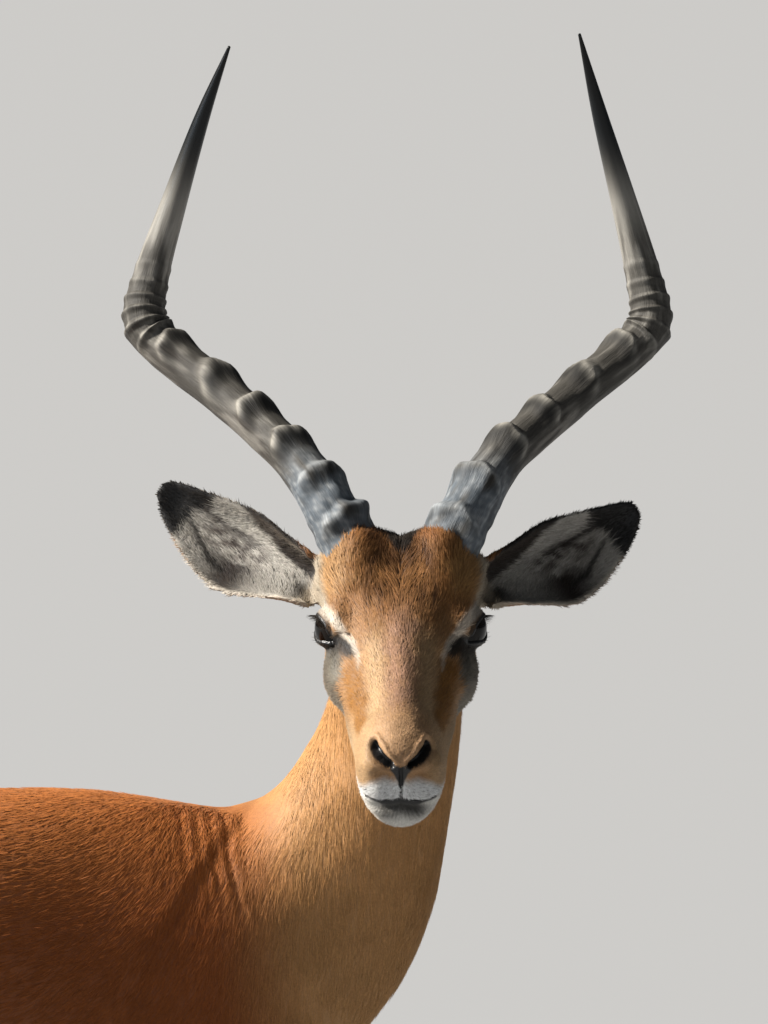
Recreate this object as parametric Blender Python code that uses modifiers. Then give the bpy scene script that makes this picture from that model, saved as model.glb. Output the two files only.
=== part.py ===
"""A standing impala ram at life size, its head turned to its right, parted into named pieces.

Metres, +Z up, 0.90 high at the withers. The trunk faces +X, and the ram's right side is -Y.
The body is lofted from sections at named stations, fused and smoothed as one form, then
parted with thin cuts.
"""

import math

import bmesh
import bpy
import numpy as np
from mathutils import Euler, Matrix, Vector

# Driving dimensions.
CUT_GAP = 0.0005
HEAD_TURN = math.radians(-100.0)  # from the trunk's +X towards the ram's right
HEAD_PITCH = math.radians(26.0)  # palate line below the horizon
NOSE_TIP = Vector((0.1990, -0.3025, 0.9195))
CORONET_HEIGHT = 0.044
CLEFT = 0.0016

# Mesh fineness.
FORM_VOXEL = 0.004
SMOOTH_ROUNDS = 9
BODY_TRIANGLES = 3800
RING_POINTS = 40
SMALL_RING_POINTS = 12
RINGS = {"trunk": 60, "neck": 36, "head": 56, "leg": 60, "tail": 18, "ear": 14}

COLOURS = {
    "coat": ((0.50, 0.20, 0.06), 0.75),
    "ear": ((0.45, 0.26, 0.13), 0.8),
    "horn": ((0.12, 0.12, 0.13), 0.5),
    "eye": ((0.010, 0.006, 0.004), 0.08),
    "hoof": ((0.03, 0.028, 0.026), 0.45),
    "tail": ((0.80, 0.76, 0.70), 0.85),
}

# Trunk: x, top, bottom, half width, height of the widest line, roundness above and below it.
TRUNK = (
    (-0.660, 0.822, 0.730, 0.026, 0.775, 2.0, 2.0),
    (-0.645, 0.856, 0.680, 0.062, 0.765, 2.0, 2.0),
    (-0.585, 0.893, 0.625, 0.098, 0.755, 2.0, 2.0),
    (-0.500, 0.907, 0.592, 0.116, 0.745, 1.8, 2.0),
    (-0.410, 0.901, 0.580, 0.115, 0.735, 2.0, 2.1),
    (-0.310, 0.893, 0.556, 0.124, 0.720, 2.1, 2.2),
    (-0.190, 0.889, 0.531, 0.134, 0.705, 2.1, 2.2),
    (-0.080, 0.895, 0.518, 0.124, 0.700, 1.9, 2.1),
    (0.000, 0.897, 0.520, 0.110, 0.700, 1.6, 1.9),
    (0.080, 0.882, 0.545, 0.104, 0.700, 1.7, 1.8),
    (0.140, 0.868, 0.585, 0.090, 0.705, 2.0, 2.0),
    (0.190, 0.825, 0.632, 0.062, 0.715, 2.0, 2.0),
    (0.224, 0.785, 0.680, 0.024, 0.730, 2.0, 2.0),
)

# Neck: centre, crest half depth, throat half depth, half width, share of the head's turn.
NECK = (
    ((0.068, 0.000, 0.735), 0.110, 0.120, 0.088, 0.00),
    ((0.142, -0.003, 0.785), 0.104, 0.122, 0.080, 0.06),
    ((0.197, -0.014, 0.850), 0.066, 0.101, 0.067, 0.25),
    ((0.231, -0.036, 0.915), 0.062, 0.070, 0.059, 0.55),
    ((0.239, -0.064, 0.973), 0.055, 0.056, 0.054, 0.85),
    ((0.236, -0.092, 1.022), 0.047, 0.050, 0.050, 1.00),
    ((0.234, -0.114, 1.052), 0.034, 0.042, 0.042, 1.00),
)

# Head: distance behind the nose tip, top, bottom, half width, height of the widest line,
# roundness above and below it.
HEAD = (
    (0.000, 0.028, -0.034, 0.020, 0.002, 2.2, 2.2),
    (0.005, 0.034, -0.043, 0.028, 0.000, 2.2, 2.2),
    (0.014, 0.040, -0.048, 0.0335, -0.002, 2.2, 2.0),
    (0.030, 0.046, -0.047, 0.0355, -0.002, 2.1, 1.9),
    (0.055, 0.053, -0.042, 0.0380, 0.004, 2.1, 1.9),
    (0.085, 0.063, -0.040, 0.0440, 0.014, 2.0, 1.9),
    (0.115, 0.074, -0.042, 0.0490, 0.024, 2.2, 1.9),
    (0.145, 0.086, -0.048, 0.0545, 0.030, 2.5, 1.9),
    (0.175, 0.096, -0.054, 0.0590, 0.030, 2.5, 1.9),
    (0.205, 0.097, -0.053, 0.0585, 0.030, 2.3, 1.9),
    (0.232, 0.086, -0.036, 0.0520, 0.026, 2.1, 2.0),
    (0.252, 0.060, -0.008, 0.0360, 0.026, 2.0, 2.0),
)
NOSE_LEAN = 0.05  # how far the front of the muzzle slopes back below the nose
LEAN_FADES_AT = 0.060

# Clay added to the head, one side: centre behind the nose, aside and up; radii along, aside, up.
HEAD_LUMPS = (
    ((0.152, 0.046, 0.053), (0.030, 0.0160, 0.024)),  # rim of the orbit
    ((0.190, 0.032, 0.080), (0.040, 0.030, 0.022)),  # foot of the horn
    ((0.190, 0.030, 0.098), (0.027, 0.021, 0.019)),  # forehead drawn up the horn
    ((0.130, 0.044, 0.023), (0.036, 0.0170, 0.026)),  # cheekbone
    ((0.180, 0.045, 0.008), (0.036, 0.014, 0.032)),  # chewing muscle
    ((0.016, 0.024, 0.012), (0.017, 0.009, 0.014)),  # wing of the nostril
    ((0.214, 0.050, 0.050), (0.024, 0.018, 0.022)),  # root of the ear
)

# Foreleg: height, x, half length, y, half width.
FORELEG = (
    (0.740, 0.020, 0.070, 0.070, 0.036),
    (0.660, 0.042, 0.072, 0.082, 0.040),
    (0.590, 0.038, 0.060, 0.083, 0.036),
    (0.540, 0.030, 0.046, 0.080, 0.030),
    (0.480, 0.036, 0.033, 0.076, 0.025),
    (0.410, 0.043, 0.025, 0.073, 0.0205),
    (0.355, 0.046, 0.0215, 0.071, 0.0185),
    (0.315, 0.048, 0.0235, 0.070, 0.0205),
    (0.272, 0.046, 0.0180, 0.069, 0.0160),
    (0.200, 0.044, 0.0140, 0.068, 0.0125),
    (0.138, 0.043, 0.0150, 0.067, 0.0135),
    (0.106, 0.045, 0.0190, 0.067, 0.0170),
    (0.076, 0.055, 0.0160, 0.067, 0.0160),
    (0.046, 0.066, 0.0205, 0.067, 0.0195),
    (0.030, 0.070, 0.0205, 0.067, 0.0195),
)

# Hind leg, in the same columns.
HINDLEG = (
    (0.820, -0.560, 0.070, 0.052, 0.034),
    (0.740, -0.565, 0.098, 0.074, 0.050),
    (0.660, -0.556, 0.106, 0.084, 0.048),
    (0.590, -0.540, 0.094, 0.086, 0.042),
    (0.520, -0.556, 0.064, 0.083, 0.032),
    (0.450, -0.595, 0.040, 0.078, 0.023),
    (0.385, -0.637, 0.027, 0.074, 0.0175),
    (0.335, -0.655, 0.0275, 0.072, 0.0195),
    (0.285, -0.652, 0.0210, 0.071, 0.0165),
    (0.210, -0.644, 0.0150, 0.070, 0.0130),
    (0.145, -0.637, 0.0155, 0.069, 0.0140),
    (0.112, -0.632, 0.0190, 0.069, 0.0170),
    (0.080, -0.621, 0.0160, 0.069, 0.0155),
    (0.046, -0.607, 0.0205, 0.069, 0.0190),
    (0.030, -0.603, 0.0205, 0.069, 0.0190),
)

# How far forward of its place each foot stands.
STRIDE = {
    "foreleg_left": 0.022,
    "foreleg_right": -0.014,
    "hindleg_left": 0.030,
    "hindleg_right": -0.030,
}
STRIDE_FADES_AT = 0.62

# Muscle added to the trunk, one side: centre; radii; pitch and inward lean in degrees.
TRUNK_LUMPS = (
    ((0.020, 0.066, 0.725), (0.076, 0.034, 0.150), 22.0, 15.0),  # shoulder blade
    ((0.070, 0.066, 0.640), (0.080, 0.038, 0.084), 0.0, 0.0),  # point of the shoulder
    ((-0.555, 0.066, 0.735), (0.122, 0.050, 0.118), -18.0, 4.0),  # haunch
    ((-0.490, 0.076, 0.640), (0.076, 0.034, 0.080), 0.0, 0.0),  # stifle and flank fold
)

# Tail: x, height, half width, half thickness.
TAIL = (
    (-0.590, 0.868, 0.016, 0.014),
    (-0.634, 0.862, 0.018, 0.015),
    (-0.666, 0.836, 0.018, 0.014),
    (-0.680, 0.790, 0.017, 0.013),
    (-0.685, 0.735, 0.020, 0.013),
    (-0.685, 0.665, 0.026, 0.015),
    (-0.682, 0.600, 0.023, 0.014),
    (-0.680, 0.555, 0.010, 0.008),
    (-0.679, 0.535, 0.002, 0.002),
)

# Horn centreline behind the nose tip, aside and up, with its half thickness.
HORN_TO_BEND = {
    "horn_right": (
        (0.196, 0.036, 0.092, 0.0235),
        (0.226, 0.057, 0.119, 0.0210),
        (0.262, 0.080, 0.135, 0.0182),
        (0.303, 0.110, 0.144, 0.0174),
        (0.346, 0.143, 0.152, 0.0170),
        (0.389, 0.185, 0.165, 0.0174),
        (0.407, 0.201, 0.181, 0.0176),
    ),
    "horn_left": (
        (0.196, 0.036, 0.092, 0.0240),
        (0.226, 0.055, 0.118, 0.0216),
        (0.262, 0.077, 0.135, 0.0184),
        (0.303, 0.107, 0.143, 0.0172),
        (0.346, 0.141, 0.151, 0.0168),
        (0.389, 0.181, 0.164, 0.0170),
        (0.407, 0.197, 0.180, 0.0170),
    ),
}
HORN_PAST_BEND = {
    "horn_right": (
        (0.428, 0.196, 0.210, 0.0146),
        (0.450, 0.178, 0.263, 0.0106),
        (0.467, 0.156, 0.328, 0.0063),
        (0.478, 0.134, 0.386, 0.0010),
    ),
    "horn_left": (
        (0.428, 0.191, 0.211, 0.0144),
        (0.450, 0.175, 0.267, 0.0105),
        (0.467, 0.156, 0.334, 0.0062),
        (0.478, 0.140, 0.397, 0.0010),
    ),
}
HORN_SIDES = 10
HORN_RIDGES = (0.066, 0.150, 0.240, 0.328, 0.420, 0.500, 0.555, 0.595, 0.628, 0.660, 0.692, 0.722)
RIDGE_LEDGE = 0.010  # share of the horn over which a ridge drops away again
RIDGE_HEIGHT = 0.26
TIP_STATIONS = 9
RIDGE_FRONT = Vector((0.45, -0.35, 0.82))  # the side on which the ridges stand proud

# Ears: root, tip and the way the cup opens, in the head's frame; y is that ear's own side.
EAR_ROOT = Vector((-0.214, 0.058, 0.052))
EAR_TIPS = {"ear_right": Vector((-0.277, 0.188, 0.105)), "ear_left": Vector((-0.270, 0.186, 0.089))}
EAR_OPENS = Vector((0.80, 0.12, 0.50))
# Share of the length, half width above and below the axis, half angle that the cup wraps.
EAR_ROWS = (
    (0.00, 0.0140, 0.0215, 128.0),
    (0.12, 0.0150, 0.0250, 112.0),
    (0.28, 0.0175, 0.0360, 84.0),
    (0.45, 0.0215, 0.0475, 62.0),
    (0.62, 0.0190, 0.0435, 52.0),
    (0.80, 0.0140, 0.0315, 44.0),
    (0.93, 0.0105, 0.0195, 38.0),
    (1.00, 0.0045, 0.0060, 30.0),
)
EAR_THICKNESS = 0.0044
EAR_COLUMNS = 9

EYE_PLACE = Vector((-0.152, 0.0465, 0.050))
EYE_RADIUS = 0.0175
SOCKET_GAP = 0.0006

# Claw: height, x from the foot's coronet, half length, half width.
CLAW = (
    (CORONET_HEIGHT, 0.002, 0.0185, 0.0088),
    (0.030, 0.007, 0.0225, 0.0100),
    (0.012, 0.013, 0.0275, 0.0108),
    (0.000, 0.017, 0.0305, 0.0110),
)


def smooth_rows(rows, steps):
    """Rows read off a smooth curve through the given ones, at even steps or at given shares."""
    rows = np.array(rows, float)
    padded = np.vstack([2 * rows[0] - rows[1], rows, 2 * rows[-1] - rows[-2]])
    shares = np.linspace(0, 1, steps) if isinstance(steps, int) else np.array(steps)
    places = shares * (len(rows) - 1)
    found = []
    for place in places:
        i = min(int(place), len(rows) - 2)
        t = place - i
        a, b, c, d = padded[i : i + 4]
        square = (2 * a - 5 * b + 4 * c - d) * t**2
        cube = (3 * b - a - 3 * c + d) * t**3
        found.append((2 * b + (c - a) * t + square + cube) / 2)
    return np.array(found)


def oval(half_width, rise, drop, top_power, low_power, count):
    """Points (aside, up) of a rounded section whose upper and lower halves differ."""
    points = []
    for k in range(count):
        turn = 2 * math.pi * k / count
        aside, up = math.cos(turn), math.sin(turn)
        power = 2.0 / (top_power if up >= 0 else low_power)
        reach = rise if up >= 0 else drop
        points.append(
            (
                half_width * math.copysign(abs(aside) ** power, aside),
                reach * math.copysign(abs(up) ** power, up),
            )
        )
    return points


def loft(name, rings):
    """A closed mesh through rings of equal count, capped at both ends."""
    shape = bmesh.new()
    rows = [[shape.verts.new(point) for point in ring] for ring in rings]
    count = len(rows[0])
    for low, high in zip(rows, rows[1:]):
        for k in range(count):
            after = (k + 1) % count
            shape.faces.new((low[k], low[after], high[after], high[k]))
    shape.faces.new(list(reversed(rows[0])))
    shape.faces.new(rows[-1])
    bmesh.ops.recalc_face_normals(shape, faces=shape.faces)
    return object_of(name, shape)


def object_of(name, shape):
    mesh = bpy.data.meshes.new(name)
    shape.to_mesh(mesh)
    shape.free()
    made = bpy.data.objects.new(name, mesh)
    WORKSHOP.objects.link(made)
    return made


def lump(name, matrix, radii):
    """An ellipsoid of clay, with its radii along the matrix's axes."""
    shape = bmesh.new()
    bmesh.ops.create_uvsphere(shape, u_segments=24, v_segments=14, radius=1.0)
    bmesh.ops.transform(shape, matrix=matrix @ Matrix.Diagonal((*radii, 1.0)), verts=shape.verts)
    return object_of(name, shape)


def head_matrix():
    """Carries the head's frame (nose +X, left +Y, crown +Z, origin at the nose tip) to the row's."""
    turn = Euler((0, HEAD_PITCH, HEAD_TURN), "XYZ").to_matrix().to_4x4()
    return Matrix.Translation(NOSE_TIP) @ turn


def trunk_form():
    rings = []
    for x, top, bottom, width, wide, above, below in smooth_rows(TRUNK, RINGS["trunk"]):
        ring = oval(width, top - wide, wide - bottom, above, below, RING_POINTS)
        rings.append([(x, aside, wide + up) for aside, up in ring])
    return loft("trunk_form", rings)


def neck_form():
    """Sections square to the centreline, turning from the trunk's plane to the head's."""
    rows = smooth_rows([(*centre, *sizes) for centre, *sizes in NECK], RINGS["neck"])
    centres = [Vector(row[:3]) for row in rows]
    rings = []
    for i, row in enumerate(rows):
        along = (centres[min(i + 1, len(rows) - 1)] - centres[max(i - 1, 0)]).normalized()
        facing = Matrix.Rotation(HEAD_TURN * row[6], 3, "Z") @ Vector((1, 0, 0))
        aside = facing.cross(along).normalized()
        crest = aside.cross(along).normalized()
        if crest.dot(facing) > 0:
            crest = -crest
        ring = oval(row[5], row[3], row[4], 1.9, 2.0, RING_POINTS)
        rings.append([centres[i] + aside * a + crest * u for a, u in ring])
    return loft("neck_form", rings)


def head_form(place):
    rings = []
    for back, top, bottom, width, wide, above, below in smooth_rows(HEAD, RINGS["head"]):
        ring = oval(width, top - wide, wide - bottom, above, below, RING_POINTS)
        lean = NOSE_LEAN * max(0.0, 1 - back / LEAN_FADES_AT)
        rings.append([place @ Vector((-back - lean * (top - wide - up), a, wide + up)) for a, up in ring])
    return loft("head_form", rings)


def leg_form(name, rows, side):
    rings = []
    for z, x, length, y, width in smooth_rows(rows, RINGS["leg"]):
        x += STRIDE[name] * max(0.0, 1 - z / STRIDE_FADES_AT)
        ring = oval(length, width, width, 2.0, 2.0, RING_POINTS)
        rings.append([(x + along, side * y + aside, z) for along, aside in ring])
    return loft(name + "_form", rings)


def tail_form():
    rows = smooth_rows(TAIL, RINGS["tail"])
    rings = []
    for i, (x, z, width, thickness) in enumerate(rows):
        before, after = rows[max(i - 1, 0)], rows[min(i + 1, len(rows) - 1)]
        along = Vector((after[0] - before[0], 0, after[1] - before[1])).normalized()
        outward = along.cross(Vector((0, 1, 0)))
        ring = oval(width, thickness, thickness, 2.0, 2.0, SMALL_RING_POINTS)
        rings.append([Vector((x, 0, z)) + Vector((0, a, 0)) + outward * u for a, u in ring])
    return loft("tail_form", rings)


def with_modifier(obj, kind, **settings):
    modifier = obj.modifiers.new(kind.title(), kind)
    for name, value in settings.items():
        setattr(modifier, name, value)
    return modifier


def settled(obj):
    """The object with its modifiers applied."""
    graph = bpy.context.evaluated_depsgraph_get()
    mesh = bpy.data.meshes.new_from_object(obj.evaluated_get(graph), depsgraph=graph)
    obj.modifiers.clear()
    obj.data = mesh
    return obj


def joined(name, pieces):
    shape = bmesh.new()
    for piece in pieces:
        shape.from_mesh(piece.data)
        bpy.data.objects.remove(piece)
    return object_of(name, shape)


def whole_form(place):
    """All the flesh but the ears and the tail as one smooth closed form."""
    pieces = [trunk_form(), neck_form(), head_form(place)]
    for side, hand in ((1, "left"), (-1, "right")):
        pieces.append(leg_form("foreleg_" + hand, FORELEG, side))
        pieces.append(leg_form("hindleg_" + hand, HINDLEG, side))
        for centre, radii in HEAD_LUMPS:
            spot = place @ Matrix.Translation((-centre[0], side * centre[1], centre[2]))
            pieces.append(lump("clay", spot, radii))
        for centre, radii, pitch, lean in TRUNK_LUMPS:
            tilt = Matrix.Rotation(math.radians(pitch), 4, "Y")
            tilt = Matrix.Rotation(math.radians(side * lean), 4, "X") @ tilt
            spot = Matrix.Translation((centre[0], side * centre[1], centre[2])) @ tilt
            pieces.append(lump("clay", spot, radii))
    form = joined("form", pieces)
    with_modifier(form, "REMESH", mode="VOXEL", voxel_size=FORM_VOXEL)
    with_modifier(form, "SMOOTH", factor=0.5, iterations=SMOOTH_ROUNDS)
    return settled(form)


def thinned(form, place):
    """Fewer triangles, with the finest kept for the head."""
    to_head = place.inverted()
    group = form.vertex_groups.new(name="fine")
    spots = [to_head @ v.co for v in form.data.vertices]
    near = [i for i, spot in enumerate(spots) if -HEAD[-1][0] < spot.x < 0.1 and spot.z > -0.08]
    group.add(near, 0.5, "REPLACE")
    triangles = sum(len(p.vertices) - 2 for p in form.data.polygons)
    with_modifier(
        form, "DECIMATE", ratio=BODY_TRIANGLES / triangles, vertex_group="fine",
        vertex_group_factor=0.03, invert_vertex_group=True,
    )
    return settled(form)


def slab(name, centre, normal, along, sizes):
    """A thin box of CUT_GAP across its normal, for parting the form."""
    normal = Vector(normal).normalized()
    along = (Vector(along) - normal * normal.dot(along)).normalized()
    turn = Matrix((along, normal.cross(along), normal)).transposed().to_4x4()
    shape = bmesh.new()
    bmesh.ops.create_cube(shape, size=1.0)
    scale = Matrix.Diagonal((*sizes, CUT_GAP, 1.0))
    bmesh.ops.transform(shape, matrix=Matrix.Translation(centre) @ turn @ scale, verts=shape.verts)
    return as_cutter(object_of(name, shape))


def as_cutter(obj):
    for collection in obj.users_collection:
        collection.objects.unlink(obj)
    collection_named("cutters").objects.link(obj)
    obj.hide_render = True
    obj.display_type = "WIRE"
    return obj


def collection_named(name):
    found = bpy.data.collections.get(name)
    if found is None:
        found = bpy.data.collections.new(name)
        bpy.context.scene.collection.children.link(found)
    return found


def less(obj, cutter):
    with_modifier(obj, "BOOLEAN", operation="DIFFERENCE", solver="EXACT", object=cutter)
    return settled(obj)


def islands(obj):
    """Each closed body of the object as an object of its own, largest first."""
    shape = bmesh.new()
    shape.from_mesh(obj.data)
    unseen = set(shape.verts)
    groups = []
    while unseen:
        front = [unseen.pop()]
        group = set(front)
        while front:
            near = {edge.other_vert(v) for v in front for edge in v.link_edges} - group
            group |= near
            front = list(near)
        unseen -= group
        groups.append({v.index for v in group})
    shape.free()
    pieces = []
    for group in groups:
        piece = bmesh.new()
        piece.from_mesh(obj.data)
        away = [v for v in piece.verts if v.index not in group]
        bmesh.ops.delete(piece, geom=away, context="VERTS")
        pieces.append(object_of(obj.name, piece))
    bpy.data.objects.remove(obj)
    return sorted(pieces, key=volume, reverse=True)


def volume(obj):
    shape = bmesh.new()
    shape.from_mesh(obj.data)
    found = shape.calc_volume()
    shape.free()
    return found


def cut_back(obj, room):
    """The object outside the room that its neighbour needs."""
    return islands(less(obj, room))[0]


def parted(obj, cutter, name):
    """(what stays, the piece cut off and renamed), where the larger of the two stays."""
    stays, goes = islands(less(obj, cutter))[:2]
    goes.name = name
    return stays, goes


def inflated(obj, distance):
    """A copy grown outwards, so that what it cuts is left just clear of the object."""
    shape = bmesh.new()
    shape.from_mesh(obj.data)
    shape.normal_update()
    moves = [(v, v.normal * distance) for v in shape.verts]
    for v, move in moves:
        v.co += move
    return as_cutter(object_of(obj.name + "_room", shape))


def division(form, place):
    """The fused form parted into head, neck, trunk and legs."""
    cut = slab(
        "behind_jaw_and_poll", place @ Vector((-0.2335, 0, -0.0225)),
        place.to_3x3() @ Vector((0.60, 0, 0.80)), place.to_3x3() @ Vector((0.80, 0, -0.60)), (0.20, 0.22),
    )
    form, head = parted(form, cut, "head")
    cut = slab("base_of_neck", (0.165, 0, 0.790), (0.815, 0, 0.579), (0.579, 0, -0.815), (0.32, 0.28))
    form, neck = parted(form, cut, "neck")
    pieces = [head, neck]
    for side, hand in ((1, "left"), (-1, "right")):
        cut = slab(
            "elbow_" + hand, (0.040, side * 0.083, 0.553), (0, -side * 0.70, 0.70), (1, 0, 0), (0.20, 0.19),
        )
        form, leg = parted(form, cut, "foreleg_" + hand)
        pieces.append(leg)
    cut = slab("above_thighs", (-0.520, 0, 0.6556), (0.486, 0, 0.874), (0.874, 0, -0.486), (0.46, 0.34))
    form, haunches = parted(form, cut, "haunches")
    cut = slab("between_thighs", (-0.52, 0, 0.60), (0, 1, 0), (1, 0, 0), (0.60, 0.60))
    for leg in islands(less(haunches, cut))[:2]:
        leg.name = "hindleg_left" if leg.data.vertices[0].co.y > 0 else "hindleg_right"
        pieces.append(leg)
    form.name = "trunk"
    return [form, *pieces]


def trimmed_feet(legs):
    for leg in legs:
        if "leg" not in leg.name:
            continue
        shape = bmesh.new()
        shape.from_mesh(leg.data)
        everything = shape.verts[:] + shape.edges[:] + shape.faces[:]
        level = Vector((0, 0, CORONET_HEIGHT + CUT_GAP))
        bmesh.ops.bisect_plane(shape, geom=everything, plane_co=level, plane_no=(0, 0, 1), clear_inner=True)
        rim = [edge for edge in shape.edges if edge.is_boundary]
        bmesh.ops.edgeloop_fill(shape, edges=rim)
        shape.to_mesh(leg.data)
        shape.free()


def ear(name, side, place):
    """A leaf that wraps into a cup at its root, thickened, with the cup opening forwards."""
    tip = EAR_TIPS[name]
    along = tip - EAR_ROOT
    opens = (EAR_OPENS - along * EAR_OPENS.dot(along) / along.length_squared).normalized()
    upward = opens.cross(along).normalized() * -1
    if upward.z < 0:
        upward = -upward
    shape = bmesh.new()
    rows = []
    for share, over, under, wrap in smooth_rows(EAR_ROWS, RINGS["ear"]):
        wrap = math.radians(wrap)
        row = []
        for k in range(EAR_COLUMNS):
            turn = wrap * (2 * k / (EAR_COLUMNS - 1) - 1)
            reach = (over if turn > 0 else under) / math.sin(min(wrap, math.pi / 2))
            depth = (over + under) / 2 / math.sin(min(wrap, math.pi / 2))
            spot = EAR_ROOT + along * share + upward * reach * math.sin(turn)
            spot += opens * depth * (0.6 - math.cos(turn))
            spot.y *= side
            row.append(shape.verts.new(place @ spot))
        rows.append(row)
    for low, high in zip(rows, rows[1:]):
        for k in range(EAR_COLUMNS - 1):
            shape.faces.new((low[k], low[k + 1], high[k + 1], high[k]))
    made = object_of(name, shape)
    with_modifier(made, "SOLIDIFY", thickness=EAR_THICKNESS, offset=0.0)
    return facing_out(settled(made))


def facing_out(obj):
    shape = bmesh.new()
    shape.from_mesh(obj.data)
    bmesh.ops.recalc_face_normals(shape, faces=shape.faces)
    if shape.calc_volume(signed=True) < 0:
        bmesh.ops.reverse_faces(shape, faces=shape.faces)
    shape.to_mesh(obj.data)
    shape.free()
    return obj


def ridge(place):
    """How proud the horn stands at a share of its length: slow rises, each with an abrupt ledge."""
    start = 0.0
    for crest in HORN_RIDGES:
        if place <= crest:
            rise = max(0.0, (place - start) / (crest - start))
            return rise * rise * (3 - 2 * rise)
        if place <= crest + RIDGE_LEDGE:
            return 1 - (place - crest) / RIDGE_LEDGE
        start = crest + RIDGE_LEDGE
    return 0.0


def horn_places():
    """Where the horn's sections lie: half way up each ridge, on its crest and below its ledge."""
    places = [0.0]
    for crest in HORN_RIDGES:
        places += [(places[-1] + crest) / 2, crest, crest + RIDGE_LEDGE]
    return places + list(np.linspace(places[-1], 1.0, TIP_STATIONS)[1:])


def horn(name, side, place):
    places = horn_places()
    rows = smooth_rows(HORN_TO_BEND[name] + HORN_PAST_BEND[name], places)
    centres = [Vector((-back, side * aside, up)) for back, aside, up, _ in rows]
    rings = []
    across = Vector((0, side, 0))
    for i, centre in enumerate(centres):
        along = (centres[min(i + 1, len(rows) - 1)] - centres[max(i - 1, 0)]).normalized()
        across = (across - along * across.dot(along)).normalized()
        other = along.cross(across)
        height = ridge(places[i]) * RIDGE_HEIGHT
        ring = []
        for k in range(HORN_SIDES):
            turn = 2 * math.pi * k / HORN_SIDES
            outward = across * math.cos(turn) + other * math.sin(turn)
            front = Vector((RIDGE_FRONT.x, side * RIDGE_FRONT.y, RIDGE_FRONT.z))
            proud = 0.35 + 0.65 * max(0.0, outward.dot(front.normalized()))
            ring.append(place @ (centre + outward * rows[i][3] * (1 + height * proud)))
        rings.append(ring)
    return facing_out(loft(name, rings))


def eyeball(name, radius, side, place):
    spot = place @ Vector((EYE_PLACE.x, side * EYE_PLACE.y, EYE_PLACE.z))
    outward = place.to_3x3() @ Vector((0, side, 0))
    turn = outward.to_track_quat("Z", "X").to_matrix().to_4x4()
    shape = bmesh.new()
    bmesh.ops.create_uvsphere(shape, u_segments=12, v_segments=8, radius=radius)
    bmesh.ops.transform(shape, matrix=Matrix.Translation(spot) @ turn, verts=shape.verts)
    return object_of(name, shape)


def claw(name, x, y, inner):
    """One toe of a hoof, flat below and flat towards its neighbour."""
    rings = []
    for z, forward, length, width in CLAW:
        ring = []
        for along, aside in oval(length, width, width, 2.4, 2.4, SMALL_RING_POINTS):
            taper = 1 - 0.35 * max(0.0, along / length) ** 2
            ring.append((x + forward + along, y + inner * ((aside + width) * taper + CLEFT / 2), z))
        rings.append(ring)
    return facing_out(loft(name, rings))


def claws(name, rows, side):
    """The outer and the inner claw of one foot."""
    rows = smooth_rows(rows, RINGS["leg"])
    foot = min(rows, key=lambda row: abs(row[0] - CORONET_HEIGHT))
    x = foot[1] + STRIDE[name] * max(0.0, 1 - CORONET_HEIGHT / STRIDE_FADES_AT)
    y = side * foot[3]
    label = name.replace("leg", "hoof")
    return [claw(label + "_outer", x, y, side), claw(label + "_inner", x, y, -side)]


def coloured(obj, kind):
    colour, roughness = COLOURS[kind]
    material = bpy.data.materials.get(kind) or bpy.data.materials.new(kind)
    material.use_nodes = True
    surface = material.node_tree.nodes["Principled BSDF"]
    surface.inputs["Base Color"].default_value = (*colour, 1.0)
    surface.inputs["Roughness"].default_value = roughness
    obj.data.materials.clear()
    obj.data.materials.append(material)
    for polygon in obj.data.polygons:
        polygon.use_smooth = False


def centred_on_floor(parts):
    """Moves everything so that the origin is the middle of the footprint's box, on the floor."""
    points = np.array([tuple(v.co) for part in parts for v in part.data.vertices])
    low, high = points.min(axis=0), points.max(axis=0)
    shift = Matrix.Translation((-(low[0] + high[0]) / 2, -(low[1] + high[1]) / 2, -low[2]))
    for obj in bpy.data.objects:
        obj.data.transform(shift)


def build():
    place = head_matrix()
    form = thinned(whole_form(place), place)
    flesh = division(form, place)
    trimmed_feet(flesh)
    trunk = flesh[0]
    head = next(piece for piece in flesh if piece.name == "head")
    head_room = inflated(head, CUT_GAP)
    trunk_room = inflated(trunk, CUT_GAP)
    parts = {piece.name: (piece, "coat") for piece in flesh}
    parts["tail"] = (cut_back(tail_form(), trunk_room), "tail")
    for side, hand in ((1, "left"), (-1, "right")):
        parts["ear_" + hand] = (cut_back(ear("ear_" + hand, side, place), head_room), "ear")
        parts["horn_" + hand] = (cut_back(horn("horn_" + hand, side, place), head_room), "horn")
        parts["eye_" + hand] = (eyeball("eye_" + hand, EYE_RADIUS, side, place), "eye")
        less(head, as_cutter(eyeball("socket_" + hand, EYE_RADIUS + SOCKET_GAP, side, place)))
        for name, rows in (("foreleg_" + hand, FORELEG), ("hindleg_" + hand, HINDLEG)):
            for toe in claws(name, rows, side):
                parts[toe.name] = (toe, "hoof")
    finished = collection_named("impala")
    for name, (obj, kind) in parts.items():
        for collection in obj.users_collection:
            collection.objects.unlink(obj)
        finished.objects.link(obj)
        obj.name = name
        obj.data.name = name
        coloured(obj, kind)
    centred_on_floor([obj for obj, kind in parts.values()])


for leftover in list(bpy.data.objects):
    bpy.data.objects.remove(leftover)
WORKSHOP = collection_named("workshop")
build()
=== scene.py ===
import math

import bmesh
import bpy
import numpy as np
from mathutils import Matrix, Vector


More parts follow.
